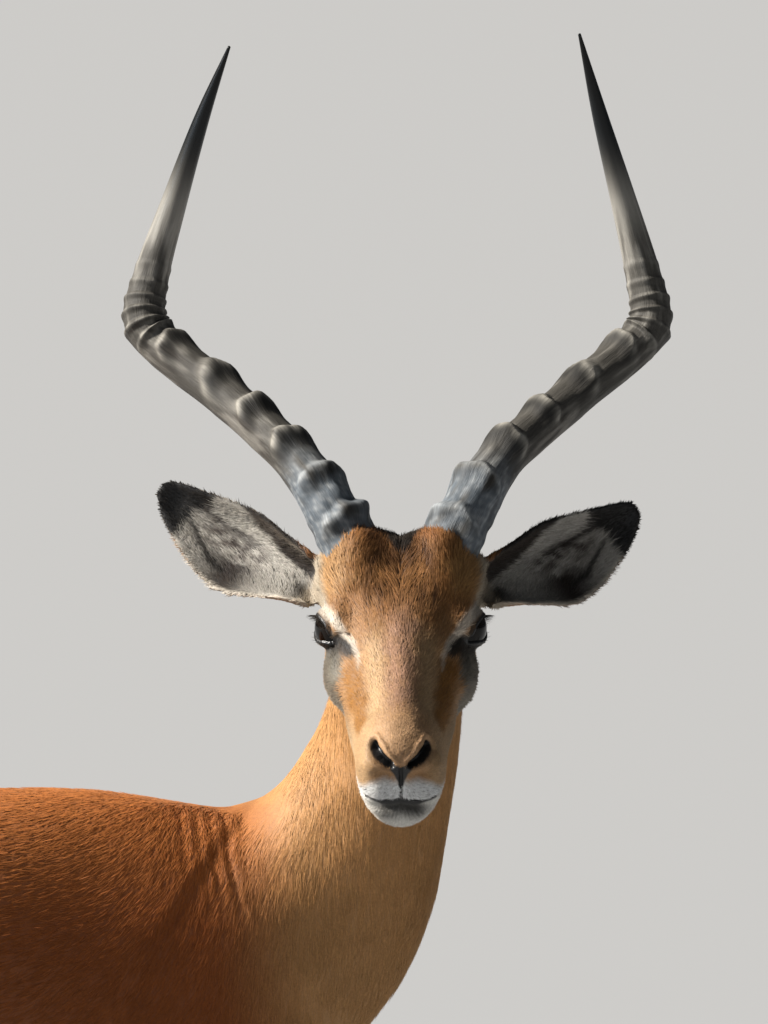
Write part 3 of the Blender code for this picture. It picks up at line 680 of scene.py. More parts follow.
def head_marks(points, colours):
    local = mirrored_in_head(points)
    behind, side, up = local.T
    lay = brush(colours)
    grain = waves(points, 0.010, 11)

    # Forehead: brown with dark streaks, gold at its sides and red at the crown.
    back_of_head = ramp(behind + 0.30 * (0.05 - up), 0.185, 0.235)
    lay("face", 1 - back_of_head)
    brown = ramp(up + 0.003 * grain, 0.054, 0.078) * ramp(behind + 0.007 * grain - 0.3 * side, 0.070, 0.142)
    lay("forehead", brown)
    gold = brown * ramp(side + 0.004 * grain, 0.030, 0.044) * ramp(behind, 0.140, 0.160)
    lay("forehead_gold", 0.80 * gold)
    combed = np.clip(waves(local * [1, 3.2, 1], 0.016, 5), -0.5, 1) * fade(side, 0.024, 0.036)
    middle_dark = bell(side, 0.020) * ramp(behind, 0.112, 0.140) * (up > 0.06)
    parting = bell(side - 0.012 - 0.35 * (0.190 - behind), 0.0045) * ramp(behind, 0.140, 0.165)
    lay("forehead_dark", np.clip(0.45 * parting + 0.35 * middle_dark + 0.45 * combed, 0, 0.75) * brown)
    red = ramp(up, 0.094, 0.108) * ramp(behind, 0.165, 0.185) * fade(side, 0.036, 0.050)
    lay("forehead_red", 0.40 * red * ramp(grain, -1.2, 0.4))

    # Bridge of the nose, with cream beside it, and the orange patch on the cheek.
    top = ramp(up, 0.030, 0.045) * (behind < 0.20)
    lay("cream", 0.70 * bell(side - 0.0195, 0.0100) * within(behind, 0.020, 0.045, 0.095, 0.125) * top)
    band = fade(side + 0.003 * grain, 0.004, 0.0175) * within(behind, 0.028, 0.050, 0.110, 0.145) * top
    speckle = ramp(waves(points, 0.0028, 14), -1.2, 0.7)
    lay("bridge", 0.80 * band * (0.45 + 0.55 * speckle))
    lay("cream", 0.65 * fade(behind, 0.050, 0.085) * ramp(side, 0.014, 0.026))
    lay("nose_top", fade(behind, 0.020, 0.045) * ramp(up, 0.012, 0.030) * fade(side, 0.016, 0.028))
    orange, passed = along_line(local, ORANGE)
    width = 0.0120 - 0.004 * np.abs(passed - 0.55)
    lay("orange", 0.95 * fade(orange + 0.0022 * grain, width * 0.45, width * 1.30))
    jaw = ramp(side, 0.020, 0.034) * fade(up, 0.000, 0.022) * ramp(behind, 0.03, 0.07)
    lay("cheek", 0.75 * jaw * (1 - back_of_head))
    lay("temple", 0.85 * ramp(behind, 0.146, 0.164) * ramp(side, 0.050, 0.057) * ramp(up, 0.020, 0.040))

    # Round the eye: grey below and before it, a dark corner, and the pale stripe of the brow.
    eye = away_from(local, EYE_CENTRE)
    lay("eye_patch", 0.9 * fade(eye, 0.0235, 0.0300) * fade(up, 0.052, 0.062) * (side > 0.03))
    patch, passed = along_line(local, EYE_PATCH)
    patch = fade(patch, 0.0110, 0.0180)
    lay("eye_patch", 0.92 * patch)
    # Darker at the patch's top, next to the eye: painted shade under the brow.
    lay("eye_patch_dark", 0.45 * patch * fade(passed, 0.25, 0.60))
    ahead = np.stack([side, 0.5 * behind + 0.866 * up], 1)
    before = (up > 0.020) * fade(behind, 0.175, 0.195)
    under_eye = fade(along_line(ahead, UNDER_EYE)[0], 0.0035, 0.0075) * before
    lay("eye_patch", 0.90 * under_eye)
    lay("eye_patch_dark", 0.45 * under_eye * ramp(ahead[:, 1], 0.082, 0.098))
    lay("eye_patch_dark", 0.97 * fade(along_line(ahead, EYE_CORNER)[0], 0.0040, 0.0085) * before)
    lay("black", 0.80 * fade(along_line(ahead, TEAR_DUCT)[0], 0.0018, 0.0045) * before)
    lay("eye_patch_dark", 0.70 * fade(eye, 0.0192, 0.0220) * (up > 0.045) * (side > 0.03))
    brow, passed = along_line(ahead, BROW)
    width = np.interp(passed, [0, 0.25, 0.6, 0.85, 1], [0.0066, 0.0048, 0.0028, 0.0020, 0.0012])
    strong = 0.50 + 0.34 * ramp(passed, 0.10, 0.40) - 0.46 * ramp(passed, 0.55, 1.0)
    lay("brow", strong * fade(brow, width * 0.45, width * 1.40) * before)
    crown = fade(side - np.maximum(behind - 0.1790, -0.005) * 1.10 + 0.0015 * grain, 0.003, 0.010)
    lay("black", 0.97 * crown * within(behind, 0.172, 0.180, 0.235, 0.250) * (up > 0.07))

    # Lips, chin and throat.
    line = np.interp(side, [0, 0.012, 0.022, 0.030, 0.045], [0.004, 0.0075, 0.003, -0.006, -0.0135])
    line = line - 0.10 * np.maximum(behind - 0.035, 0)
    below = ramp(line - up + 0.0008 * grain, -0.004, 0.006) * fade(behind, 0.045, 0.085)
    pores = ramp(np.sin(side * 2100) * np.sin(up * 1900 + 2 * side * 900), 0.45, 0.95) * (side > 0.003)
    lay("lip", below)
    lay("chin_dark", 0.55 * below * pores * (up > -0.011))
    chin = ramp(-0.0135 - up + 0.04 * np.minimum(behind, 0.1), -0.002, 0.004)
    lay("chin", chin * fade(behind, 0.080, 0.120))
    lay("belly", 0.8 * fade(side, 0.018, 0.030) * fade(up, -0.040, -0.026) * ramp(behind, 0.06, 0.09))
    fan = 0.5 + 0.5 * np.sin(np.arctan2(side, up + 0.008) * 46)
    under = lip_line(side) - up
    dark_chin = fade(side, 0.011, 0.026) * ramp(under, 0, 0.0015) * (behind < 0.03)
    lay("chin_dark", 0.92 * dark_chin * fade(under + 0.0020 * fan, 0.0090, 0.0230))
    return colours


def bare_share(points):
    """How far points are bare black skin, on nose, lips and lids, with painted shade in the nostrils' hollows
    and under the upper lip, and how far on the nostrils alone.
    """
    local = mirrored_in_head(points)
    behind, side, up = local.T
    # The nostrils: the nose's own black skin, spread wide over their deep hollows as painted shade.
    slit, passed = along_line(local, NOSTRIL)
    width = np.interp(passed, [0, 0.5, 1], [0.0040, 0.0046, 0.0034])
    nostril = fade(slit, width * 0.85, width * 1.20)
    heights = [-0.012, -0.002, 0.004, 0.010, 0.0165, 0.0205]
    half = np.interp(up, heights, [0.0012, 0.0014, 0.0026, 0.0052, 0.0098, 0.0105])
    top = 0.0160 + 0.30 * side
    pad = fade(side, half * 0.85, half * 1.2) * within(up, -0.0135, -0.0120, top, top + 0.0022)
    lips, passed = along_line(local, MOUTH)
    lip = fade(lips, 0.0012, 0.0026) * fade(passed, 0.85, 1)
    # Black band under the mouth's line: the mouth's own dark line, deepened at the front as painted shade
    # under the overhanging upper lip.
    mouth_gap_and_shade_height = np.interp(side, [0, 0.016, 0.028], [0.0060, 0.0038, 0.0008])
    mouth = within(lip_line(side) - up, -0.0004, 0.0006, mouth_gap_and_shade_height, mouth_gap_and_shade_height + 0.002) * (behind < 0.013)
    reach, _, facing, run, rise = from_eye(local)
    gap, rise = lid_gap(run, rise)
    wide = np.where(rise > 0, 0.09, 0.06)
    lid = fade(gap, wide, wide + 0.07) * (reach < 0.024) * (facing > -0.1)
    all_bare = (
        nostril * (behind < 0.03), pad * (behind < 0.014), lip * 0.9 * (behind < 0.07),
        mouth * (side < 0.028), lid,
    )
    return np.maximum.reduce(all_bare), nostril


def body_marks(points, normals):
    x, y, z = points.T
    side = np.abs(y - MIDLINE)
    outness = (y - MIDLINE) * normals[:, 1] / np.maximum(side, 1e-4)
    hind = x < -0.2
    grain, fine = waves(points, 0.045, 3), waves(points, 0.012, 4)
    colours, lay = painted("neck", len(points))

    # Dark saddle over a paler flank.
    front = fade(x - 0.10 * (0.86 - z) + 0.008 * grain, 0.196, 0.286)
    low = 0.690 + 0.012 * grain + 0.02 * ramp(-x, 0.36, 0.50)
    above = ramp(z, low - 0.022, low + 0.022)
    lay("flank", (1 - above) * front)
    lay("saddle", above * front)
    # Paler along the top of the back: painted light where the light from above falls on it.
    lay("back_ridge", 0.80 * above * front * ramp(z, 0.79, 0.87))
    lay("pale_neck", 0.25 * ramp(x, 0.27, 0.33) * fade(z, 0.70, 0.86) * (z > 0.5))

    # White belly, and legs with white inner sides.
    line = np.interp(x, [-0.55, -0.36, -0.22, 0.0, 0.16, 0.30], [0.60, 0.640, 0.600, 0.578, 0.590, 0.58])
    belly = fade(z + 0.004 * fine, line - 0.005, line + 0.008) * (z > 0.50)
    belly *= within(x, -0.40, -0.33, 0.20, 0.27) * ramp(0.50 - normals[:, 2], 0.1, 0.5)
    foreleg = ramp(x, 0.060, 0.090) * fade(z, 0.590, 0.610)
    belly *= 1 - foreleg * np.maximum(ramp(outness, -0.2, 0.2), ramp(normals[:, 0], 0.2, 0.6))
    lay("belly", belly)
    leg = fade(z, 0.50, 0.60)
    lay("leg", leg * (1 - belly))
    inner = ramp(-outness, 0.15, 0.55) * (z < 0.66)
    inner *= ramp(z, np.where(hind, 0.36, 0.30), np.where(hind, 0.44, 0.40))
    inside_leg = inner * leg + inner * (z >= 0.5) * hind * ramp(x, -0.52, -0.46)
    lay("belly", 0.95 * np.clip(inside_leg, 0, 1))
    lay("shin", 0.6 * ramp(normals[:, 0], 0.2, 0.7) * fade(z, 0.36, 0.44) * leg)
    lay("shin", 0.4 * fade(z, 0.060, 0.085) * (z > 0.02))

    # White rump between two black stripes, black glands on the shanks, and the tail.
    rump = ramp(-x, 0.36, 0.40) * ramp(0.45 - normals[:, 0], 0.0, 0.4) * within(z, 0.585, 0.605, 0.835, 0.865)
    edge = np.interp(z, [0.60, 0.68, 0.76, 0.83, 0.87], [0.060, 0.073, 0.071, 0.058, 0.038])
    lay("belly", 0.95 * rump * fade(side, edge - 0.006, edge + 0.002))
    lay("leg", ramp(side, edge, edge + 0.006) * rump * fade(z, 0.66, 0.70))
    lay("black", 0.96 * rump * fade(np.abs(side - edge), 0.0055, 0.0095) * ramp(z, 0.605, 0.640))
    gland = along_line(points[:, [0, 2]], GLAND)[0]
    lay("black", 0.95 * fade(gland, 0.012, 0.020) * hind * (normals[:, 0] < 0.35))
    tail = tail_share(points)
    lay("belly", tail)
    outer = ramp(-normals[:, 0], -0.1, 0.35) * fade(side, 0.006, 0.011)
    lay("black", 0.95 * tail * outer * (z < 0.865))
    return colours


def ear_places(points):
    """Where points lie on their ear: share of its length, turn and height across, and its hollow's middle."""
    local = in_head(points)
    own = np.where(local[:, 1] > 0, 1.0, -1.0)
    local[:, 1] *= own
    along = np.where(own[:, None] > 0, EAR_TIPS["left"], EAR_TIPS["right"]) - EAR_ROOT
    opens = unit(EAR_OPENS - along * (dot(EAR_OPENS, along) / dot(along, along))[:, None])
    upward = unit(np.cross(opens, along))
    upward *= np.sign(upward[:, 2:3])
    away = local - EAR_ROOT
    share = dot(away, along) / dot(along, along)
    over, under, wrap = (np.interp(share, EAR_ROWS[:, 0], EAR_ROWS[:, k]) for k in (1, 2, 3))
    wrap = np.radians(wrap)
    widening = np.sin(np.minimum(wrap, math.pi / 2))
    depth = (over + under) / 2 / widening
    rise = dot(away, upward)
    half = np.where(rise > 0, over, under)
    out = dot(away, opens) - 0.6 * depth
    turn = np.arctan2(rise / (half / widening), -out / depth)
    hollow = EAR_ROOT + along * share[:, None] + opens * (0.6 * depth)[:, None]
    return share, turn / wrap, rise / half, hollow - local, own, (unit(along), upward, opens)


def ear_inside(normals, inward, own):
    local = turned_in_head(normals)
    local[:, 1] *= own
    return ramp(dot(local, unit(inward)), -0.15, 0.25)


def ear_marks(points, normals, colours):
    share, across, level, inward, own, _ = ear_places(points)
    inside = ear_inside(normals, inward, own)
    grain, fine = waves(points, 0.008, 21), waves(points, 0.004, 22)
    outer, lay = painted("ear_back", len(points))
    lay("ear_edge", ramp(across, 0.35, 0.95) * ramp(share, 0.08, 0.25))
    lay("brow", 0.7 * ramp(-across, 0.80, 0.98) * fade(share, 0.60, 0.70))

    # White inside, with brown lines that run to the tip and a dark hollow at the root.
    inner, lay = painted("ear_inside", len(points))
    middle_way = bell(level + 0.22 - 0.08 * grain, 0.25) * within(share, 0.26, 0.38, 0.66, 0.76)
    lay("ear_warm", 0.92 * middle_way * ramp(fine, -0.8, 0.5))
    lay("ear_hollow", 0.97 * bell(share - 0.085, 0.050) * bell(level + 0.62, 0.30))
    lower_dark = bell(share - 0.46, 0.150) * ramp(-level + 0.04 * grain, 0.40, 0.54)
    lower_dark *= fade(-level, 0.95, 0.99)
    lay("ear_edge", 0.98 * lower_dark)
    line = level + np.interp(share, [0.48, 0.59, 0.745, 0.78], [0.72, 0.68, 0.40, 0.36]) + 0.02 * grain
    lay("ear_hollow", 0.95 * bell(line, 0.065) * within(share, 0.45, 0.52, 0.74, 0.80))
    line = level - np.interp(share, [0.45, 0.72], [-0.06, 0.12]) + 0.04 * grain
    streak = bell(line, 0.13) * within(share, 0.36, 0.46, 0.71, 0.79)
    lay("ear_edge", 0.95 * streak * ramp(fine, -1.4, -0.2))
    rim_starts = -0.34 + 2.2 * np.maximum(share - 0.04, 0)
    lay("ear_edge", 0.96 * ramp(level + 0.04 * grain, rim_starts, rim_starts + 0.20))
    lay("black", 0.95 * ramp(level + 0.04 * grain, 0.86, 0.96) * ramp(share, 0.10, 0.26))
    lay("brow", 0.75 * ramp(-across, 0.88, 0.96) * ramp(share, 0.05, 0.15))

    marks = outer * (1 - inside[:, None]) + inner * inside[:, None]
    lay = brush(marks)
    warm = ramp(share + 0.015 * grain - 0.05 * across, 0.665, 0.700)
    lay("ear_edge", 0.90 * warm * ramp(across, -0.3, 0.3))
    lay("black", 0.98 * ramp(share + 0.020 * grain + 0.045 * across, 0.735, 0.785))
    on_ear = ramp(share, 0.03, 0.10)[:, None]
    return colours * (1 - on_ear) + marks * on_ear


def markings(points, normals):
    """The coat's colour at each point."""
    head = head_share(points)
    colours = body_marks(points, normals)
    found = np.nonzero(head > 0.01)[0]
    places = points[found]
    face = head_marks(places, colours[found])
    ears = ear_marks(places, normals[found], face)
    face = np.where((ear_share(places) > 0)[:, None], ears, face)
    weight = head[found, None]
    colours[found] = colours[found] * (1 - weight) + face * weight
    shade = 1 + 0.05 * waves(points, 0.06, 8) + 0.05 * waves(points, 0.014, 9)
    return np.clip(colours * shade[:, None], 0, 1)


# The lie of the coat.


def lie(points, normals):
    """The way the hairs run at each point, along the skin."""
    x, y, z = points.T
    still = np.zeros(len(x))
    turn = np.radians(8 + 78 * fade(x + 0.25 * (z - 0.85), 0.00, 0.27)) * ramp(z, 0.46, 0.66)
    turn *= 1 - 0.45 * fade(z, 0.60, 0.84) * (z > 0.5)
    turn *= 1 - 0.9 * ramp(-x, 0.44, 0.54)
    way = np.stack([-np.sin(turn), still, -np.cos(turn)], 1)
    way[:, 0] -= 1.5 * ramp(-normals[:, 2], 0.4, 0.8) * (z > 0.5) * (x < 0.25)
    way[:, 1] += 0.25 * np.sign(y - MIDLINE) * fade(normals[:, 2], 0.3, 0.9) * (z > 0.6) * (x < 0.2)

    head = head_share(points)
    behind, aside, up = in_head(points).T
    back = np.stack([still + 1, 0.10 * np.sign(aside), still], 1)
    lips = fade(behind, 0.012, 0.040) * fade(up, 0.004, 0.016)
    back[:, 1] += 1.3 * lips * np.clip(aside / 0.012, -1, 1)
    back[:, 2] -= 0.55 * fade(up, 0.015, 0.045) * ramp(behind, 0.05, 0.10)
    back[:, 2] -= 0.5 * lips + 1.6 * fade(behind, 0.012, 0.040) * fade(up, -0.020, -0.014)
    whorls = 0.45 * np.sin(aside / 0.011 + 1.2 * np.sign(aside)) + 0.3 * waves(points, 0.02, 31)
    back[:, 1] += ramp(behind, 0.13, 0.16) * ramp(up, 0.06, 0.08) * whorls
    way = way * (1 - head)[:, None] + turned_from_head(unit(back)) * head[:, None]

    ears = np.nonzero((ear_share(points) > 0.01) & (head > 0.5))[0]
    way[ears] = ear_lie(points[ears], normals[ears], way[ears])
    swirl = 0.16 * waves(points, 0.016, 41) + 0.12 * waves(points, 0.05, 42)
    return squared_off(way + np.cross(normals, way) * swirl[:, None], normals)


def ear_lie(points, normals, way):
    share, across, _, inward, own, (along, upward, _) = ear_places(points)
    inside = ear_inside(normals, inward, own)[:, None]
    rim = ramp(np.abs(across), 0.72, 0.95)[:, None]
    comb = along * (0.25 + 0.9 * share[:, None]) - upward * across[:, None] * (1.25 - share[:, None])
    fringe = along * 0.75 + upward * np.sign(across)[:, None] * 0.65
    hairs = (comb * inside + along * (1 - inside)) * (1 - rim) + fringe * rim
    hairs[:, 1] *= own
    weight = ear_share(points)[:, None]
    return way * (1 - weight) + turned_from_head(hairs) * weight


# Tufts.

MOST_TRIANGLES = 196000
# Half the size of a tuft's patch on the unwrap, and tones from the root to the tip: darker at the root as
# painted shade between the locks, lighter at the tip as painted light.
PATCH = 0.0015
TUFT_ROOT_SHADE_TIP_LIGHT = (0.86, 0.86, 0.97, 1.07)
# The long hairs' tones, ring by ring: painted shade at the root, painted light at the tip.
HAIR_ROOT_SHADE_TIP_LIGHT = (0.66, 0.66, 0.66, 0.92, 0.92, 0.92, 1.05, 1.05, 1.05, 1.15)
HAIR_RADII = (0.5, 0.55, 0.38, 0.0)
HAIR_CORNERS = (0.5, 2.6, 4.7)


def unwrapped(piece):
    """An unwrap of the skin's own shape, as UV for each corner of each triangle."""
    bpy.ops.object.select_all(action="DESELECT")
    bpy.context.view_layer.objects.active = piece
    piece.select_set(True)
    layer = piece.data.uv_layers.new(name="OFBake").name
    bpy.ops.object.mode_set(mode="EDIT")
    bpy.ops.mesh.select_all(action="SELECT")
    bpy.ops.uv.smart_project(angle_limit=math.radians(66), island_margin=0.002)
    bpy.ops.object.mode_set(mode="OBJECT")
    return read(piece.data.uv_layers[layer].uv, "vector", 2).reshape(-1, 3, 2).astype(float)


class Skin:
    """The skin as arrays that tufts are sown on."""

    def __init__(self, piece, rest):
        mesh = piece.data
        self.points, self.normals = points_of(mesh), normals_of(mesh)
        self.faces = read(mesh.polygons, "vertices", 3, np.int32)
        self.uv = unwrapped(piece)
        self.colours = markings(rest, self.normals)
        self.bare, self.nostril = bare_share(rest)
        self.lie = lie(self.points, self.normals)
        self.head = head_share(self.points)
        self.ear = ear_share(self.points) * (self.head > 0.5)
        a, b, c = (self.points[self.faces[:, k]] for k in range(3))
        self.area = np.linalg.norm(np.cross(b - a, c - a), axis=1) / 2

    def sown(self, density):
        """Roots scattered at a number per square metre: what reads the skin there, their normals and ways."""
        rate = density[self.faces].mean(axis=1) * self.area
        count = int(rate.sum())
        chosen = np.searchsorted(np.cumsum(rate), CHANCE.uniform(0, rate.sum(), count))
        chosen = np.sort(np.minimum(chosen, len(rate) - 1))
        first, second = CHANCE.uniform(size=(2, count))
        over = first + second > 1
        first[over], second[over] = 1 - first[over], 1 - second[over]
        weights = np.stack([1 - first - second, first, second], 1)

        def at(values):
            corners = values[chosen] if values is self.uv else values[self.faces[chosen]]
            return np.einsum("ij,ij...->i...", weights, corners)

        normals = unit(at(self.normals))
        return at, normals, squared_off(at(self.lie), normals)


def sway(ways, normals, turn):
    """Ways turned about the normal."""
    return ways * np.cos(turn)[:, None] + np.cross(normals, ways) * np.sin(turn)[:, None]


def repeated(points, facing, corners, tints, patch, uv):
    """Many tufts as one mesh's arrays, from the corners and the patch that they share."""
    count, each = points.shape[:2]
    corners = np.array(corners)
    faces = (np.arange(count)[:, None, None] * each + corners).reshape(-1, 3)
    spots = (uv[:, None, :] + np.array(patch) * PATCH)[:, corners.ravel()].reshape(-1, 2)
    shades = np.clip(tints, 0, 1).reshape(-1, 3)
    return points.reshape(-1, 3), faces, shades, spots, facing.reshape(-1, 3)


def short_tufts(roots, ways, normals, colours, uv, length, width, lift, uneven):
    """Flat, pointed locks of four faces that lie over one another."""
    count = len(roots)
    ways = sway(ways, normals, CHANCE.normal(0, 0.13, count))
    aside = np.cross(normals, ways)
    lift, length, width = (
        (value * CHANCE.uniform(low, high, count))[:, None]
        for value, low, high in ((lift, 0.55, 1.5), (length, 0.7, 1.25), (width, 0.7, 1.3))
    )
    base = roots - normals * 0.0004
    crest = base + ways * length * 0.22 + normals * (width * 0.42 + length * 0.22 * lift)
    tip = roots + ways * length + normals * length * lift
    points = np.stack([base - aside * width / 2, base + aside * width / 2, crest, tip], 1)
    tone = 1 + CHANCE.normal(0, 1, (count, 1, 1)) * uneven[:, None, None]
    tone = tone + CHANCE.normal(0, 0.012, (count, 1, 3))
    rounded = np.stack([normals - aside * 0.42, normals + aside * 0.42, normals, normals + ways * 0.22], 1)
    rounded = unit(rounded + CHANCE.normal(0, 0.10, (count, 1, 3)))
    # Each lock is darker at its root as painted shade and lighter at its tip as painted light.
    tints = colours[:, None, :] * tone * np.array(TUFT_ROOT_SHADE_TIP_LIGHT)[:, None]
    corners = [(0, 3, 2), (2, 3, 1), (0, 2, 1), (0, 1, 3)]
    return repeated(points, rounded, corners, tints, [(-1, -1), (1, -1), (0, -0.4), (0, 1)], uv)


def long_hairs(roots, ways, normals, colours, uv, length, width, lift, bend):
    """Curved locks of three lengths with a three-sided section; bend is added to their way by the tip."""
    count = len(roots)
    length = length * CHANCE.uniform(0.6, 1.25, count)
    ways = sway(ways, normals, CHANCE.normal(0, 0.16, count))
    ways = unit(ways + normals * (lift * CHANCE.uniform(0.5, 1.4, count))[:, None])
    aside = unit(np.cross(normals, ways))
    place = roots - normals * 0.0005
    rings, facing = [], []
    last = len(HAIR_RADII) - 1
    for step, thickness in enumerate(HAIR_RADII[:-1]):
        way = unit(ways + bend * (step / last) ** 1.4)
        upward = np.cross(way, aside)
        for turn in HAIR_CORNERS:
            out = aside * math.cos(turn) + upward * math.sin(turn)
            rings.append(place + out * width * thickness)
            facing.append(unit(out * 0.6 + normals * 0.8))
        place = place + way * (length / last)[:, None]
    corners = [(0, 2, 1)]
    for low in (0, 3):
        for k in range(3):
            a, b = low + k, low + (k + 1) % 3
            corners += [(a, b, b + 3), (a, b + 3, a + 3)]
    corners += [(6, 7, 9), (7, 8, 9), (8, 6, 9)]
    # Each long hair is darker at its root as painted shade and lighter at its tip as painted light.
    tints = colours[:, None, :] * CHANCE.normal(1, 0.10, (count, 1, 1)) * np.array(HAIR_ROOT_SHADE_TIP_LIGHT)[:, None]
    patch = [(-1, -1), (1, -1), (0, -1), (-1, 0), (1, 0), (0, 0), (-1, 0.6), (1, 0.6), (0, 0.6), (0, 1)]
    points, rounded = np.stack([*rings, place], 1), np.stack([*facing, normals], 1)
    return repeated(points, rounded, corners, tints, patch, uv)


def coat_pieces(name, made, finish, slot):
    """Tufts as pieces of no more than MOST_TRIANGLES triangles each."""
    points, faces, shades, uv, facing = made
    for number, start in enumerate(range(0, len(faces), MOST_TRIANGLES), 1):
        chunk = faces[start : start + MOST_TRIANGLES]
        mine = slice(chunk.min(), chunk.max() + 1)
        corners = uv[start * 3 : (start + len(chunk)) * 3]
        title = f"{name}_{number}"
        mesh = mesh_from(title, points[mine], chunk - mine.start, shades[mine], corners, facing[mine])
        finished(shown(title, mesh), finish, slot)


def coat_form(skin):
    """Length, width, lift and number of the short tufts at each point."""
    x, y, z = skin.points.T
    local = mirrored_in_head(skin.points)
    behind, _, up = local.T

    leg = fade(z, 0.46, 0.60)
    neck = ramp(x, 0.19, 0.26) * (z > 0.66)
    near_view = ramp(x, 0.02, 0.12) * fade(y - MIDLINE, 0.02, 0.04) * ramp(z, 0.66, 0.70)
    near_back = near_view * (1 - neck)
    tail = tail_share(skin.points)
    length = 0.0130 + 0.0040 * neck - 0.0045 * leg - 0.0015 * fade(z, 0.24, 0.34) - 0.0015 * near_back
    body = (
        length * (1 - tail) + 0.016 * tail,
        0.00150 - 0.00045 * leg - 0.00068 * neck - 0.00050 * near_back,
        0.062 - 0.028 * neck - 0.005 * leg,
        np.maximum(112000 + 222000 * neck + 52000 * leg, 370000 * near_view),
    )

    fore = ramp(behind, 0.120, 0.150) * ramp(up, 0.055, 0.080)
    muzzle = fade(behind, 0.035, 0.075)
    lips = fade(behind, 0.020, 0.050) * fade(up, 0.002, 0.012)
    cheek = ramp(behind, 0.10, 0.18) * fade(up, 0.01, 0.04)
    eye = away_from(local, EYE_CENTRE)
    tight = np.maximum(fade(eye, 0.022, 0.032), fade(along_line(local, NOSTRIL)[0], 0.004, 0.009))
    length = 0.0056 + 0.0030 * fore - 0.0022 * muzzle - 0.0008 * lips + 0.0030 * cheek
    width = 0.00095 + 0.00020 * fore - 0.00030 * muzzle - 0.00010 * lips + 0.0002 * cheek
    face = (
        length * (1 - 0.45 * tight),
        width * (1 - 0.25 * tight),
        0.15 + 0.05 * fore - 0.02 * muzzle + 0.25 * lips,
        820000 - 220000 * fore + 920000 * muzzle - 350000 * cheek,
    )
    on_ear = (0.0046 - 0.0014 * ramp(ear_places(skin.points)[0], 0.75, 0.85), 0.00100, 0.14, 780000)

    values = []
    for on_body, on_face, there in zip(body, face, on_ear):
        on_face = on_face * (1 - skin.ear) + there * skin.ear
        values.append(on_body * (1 - skin.head) + on_face * skin.head)
    hidden = ((z < 0.043) & (skin.head < 0.5)) | (eye < EYE_RADIUS + 0.0012)
    values[3] = values[3] * fade(skin.bare, 0.25, 0.60) * fade(skin.nostril, 0.1, 0.4) * ~hidden
    return values


def short_coat(skin, hair):
    length, width, lift, number = coat_form(skin)
    at, normals, ways = skin.sown(number)
    head, ear, roots = at(skin.head), at(skin.ear), at(skin.points)
    rows = (
        roots, ways, normals, at(skin.colours), at(skin.uv),
        at(length), at(width), at(lift), 0.045 + 0.060 * head,
    )
    on_body, behind = head <= 0.5, roots[:, 0] <= 0.08
    for name, mine, slot in (
        ("ear_coat", ear > 0.5, "ear"),
        ("face_coat", ~on_body & (ear <= 0.5), "coat"),
        ("fore_coat", on_body & ~behind, "coat"),
        ("hind_coat", on_body & behind, "coat"),
    ):
        coat_pieces(name, short_tufts(*(row[mine] for row in rows)), hair, slot)


def long_coat(skin, hair):
    """Longer hair: in the ears and round their rims, on crown, tail, shanks, throat, brows and lips."""
    points = skin.points
    local = mirrored_in_head(points)
    behind, side, up = local.T
    share, across, _, inward, own, _ = ear_places(points)
    across = np.abs(across)
    inside = ear_inside(skin.normals, inward, own) * (skin.ear > 0.5)
    in_ear = inside * within(share, 0.05, 0.12, 0.78, 0.84) * fade(across, 0.66, 0.84)
    rim = (skin.ear > 0.5) * ramp(across, 0.80, 0.92) * within(share, 0.08, 0.2, 0.72, 0.80)
    crown = fade(side, 0.014, 0.026) * within(behind, 0.165, 0.182, 0.235, 0.25) * (up > 0.06)
    fore = within(behind, 0.135, 0.160, 0.20, 0.22) * ramp(up, 0.070, 0.085) * (side < 0.055)
    collar = fade(away_from(local, HORN_FOOT), 0.034, 0.040) * (up > 0.055)
    crown = (crown * 420000 + fore * 80000 + collar * 250000) * (skin.head > 0.5) * (skin.ear < 0.2)
    hock = fade(along_line(points[:, [0, 2]], GLAND)[0], 0.010, 0.018)
    hock *= (points[:, 0] < -0.2) * (skin.normals[:, 0] < 0.2)
    throat = fade(side, 0.020, 0.034) * fade(up, -0.036, -0.022)
    throat *= ramp(behind, 0.02, 0.12) * (skin.head > 0.5)
    brow = skin.head * (np.abs(away_from(local, EYE_CENTRE) - 0.0265) < 0.004) * ramp(up, 0.055, 0.065)
    lips = fade(behind, 0.010, 0.018) * within(up, -0.0095, -0.0070, -0.005, 0.000) * (side > 0.004)
    # Number per square metre, length, width, lift, and how far each bends back to the skin.
    zones = {
        "ear_hair": (in_ear * 105000, 0.0085, 0.00036, 0.30, 0.35, "ear"),
        "ear_rim": (rim * 520000, 0.0060, 0.00034, 0.26, 0.15, "ear"),
        "crown_hair": (crown, 0.0105, 0.00042, 0.30, 0.30, "coat"),
        "tail_hair": (tail_share(points) * 165000, 0.044, 0.0014, 0.22, 0, "tail"),
        "gland_hair": (hock * 380000, 0.019, 0.0007, 0.30, 0.15, "coat"),
        "throat_hair": (throat * 150000, 0.013, 0.00050, 0.25, 0.15, "coat"),
        "brow_hair": (brow * 260000, 0.0075, 0.00034, 0.40, 0.15, "coat"),
        "bristles": (lips * 150000 * (skin.head > 0.5), 0.0045, 0.00020, 0.55, 0.15, "coat"),
    }
    for name, (number, length, width, lift, bend, slot) in zones.items():
        at, normals, ways = skin.sown(number * fade(skin.bare, 0.25, 0.6))
        roots, tints, bend = at(points), at(skin.colours), normals * -bend
        if name == "tail_hair":
            ways = unit(ways + np.array([0.0, 0, -0.6]))
            bend[:, 2] = -1.2
            room = np.maximum(roots[:, 2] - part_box("tail")[0].z + 0.004, 0.012)
            length = np.minimum(length, room * 0.9)
        if name == "ear_hair":
            length = length * (0.75 + 0.5 * at(inside))
        if name == "bristles":
            tints[:] = COLOURS["black"]
        made = long_hairs(roots, ways, normals, tints, at(skin.uv), length, width, lift, bend)
        coat_pieces(name, made, hair, slot)


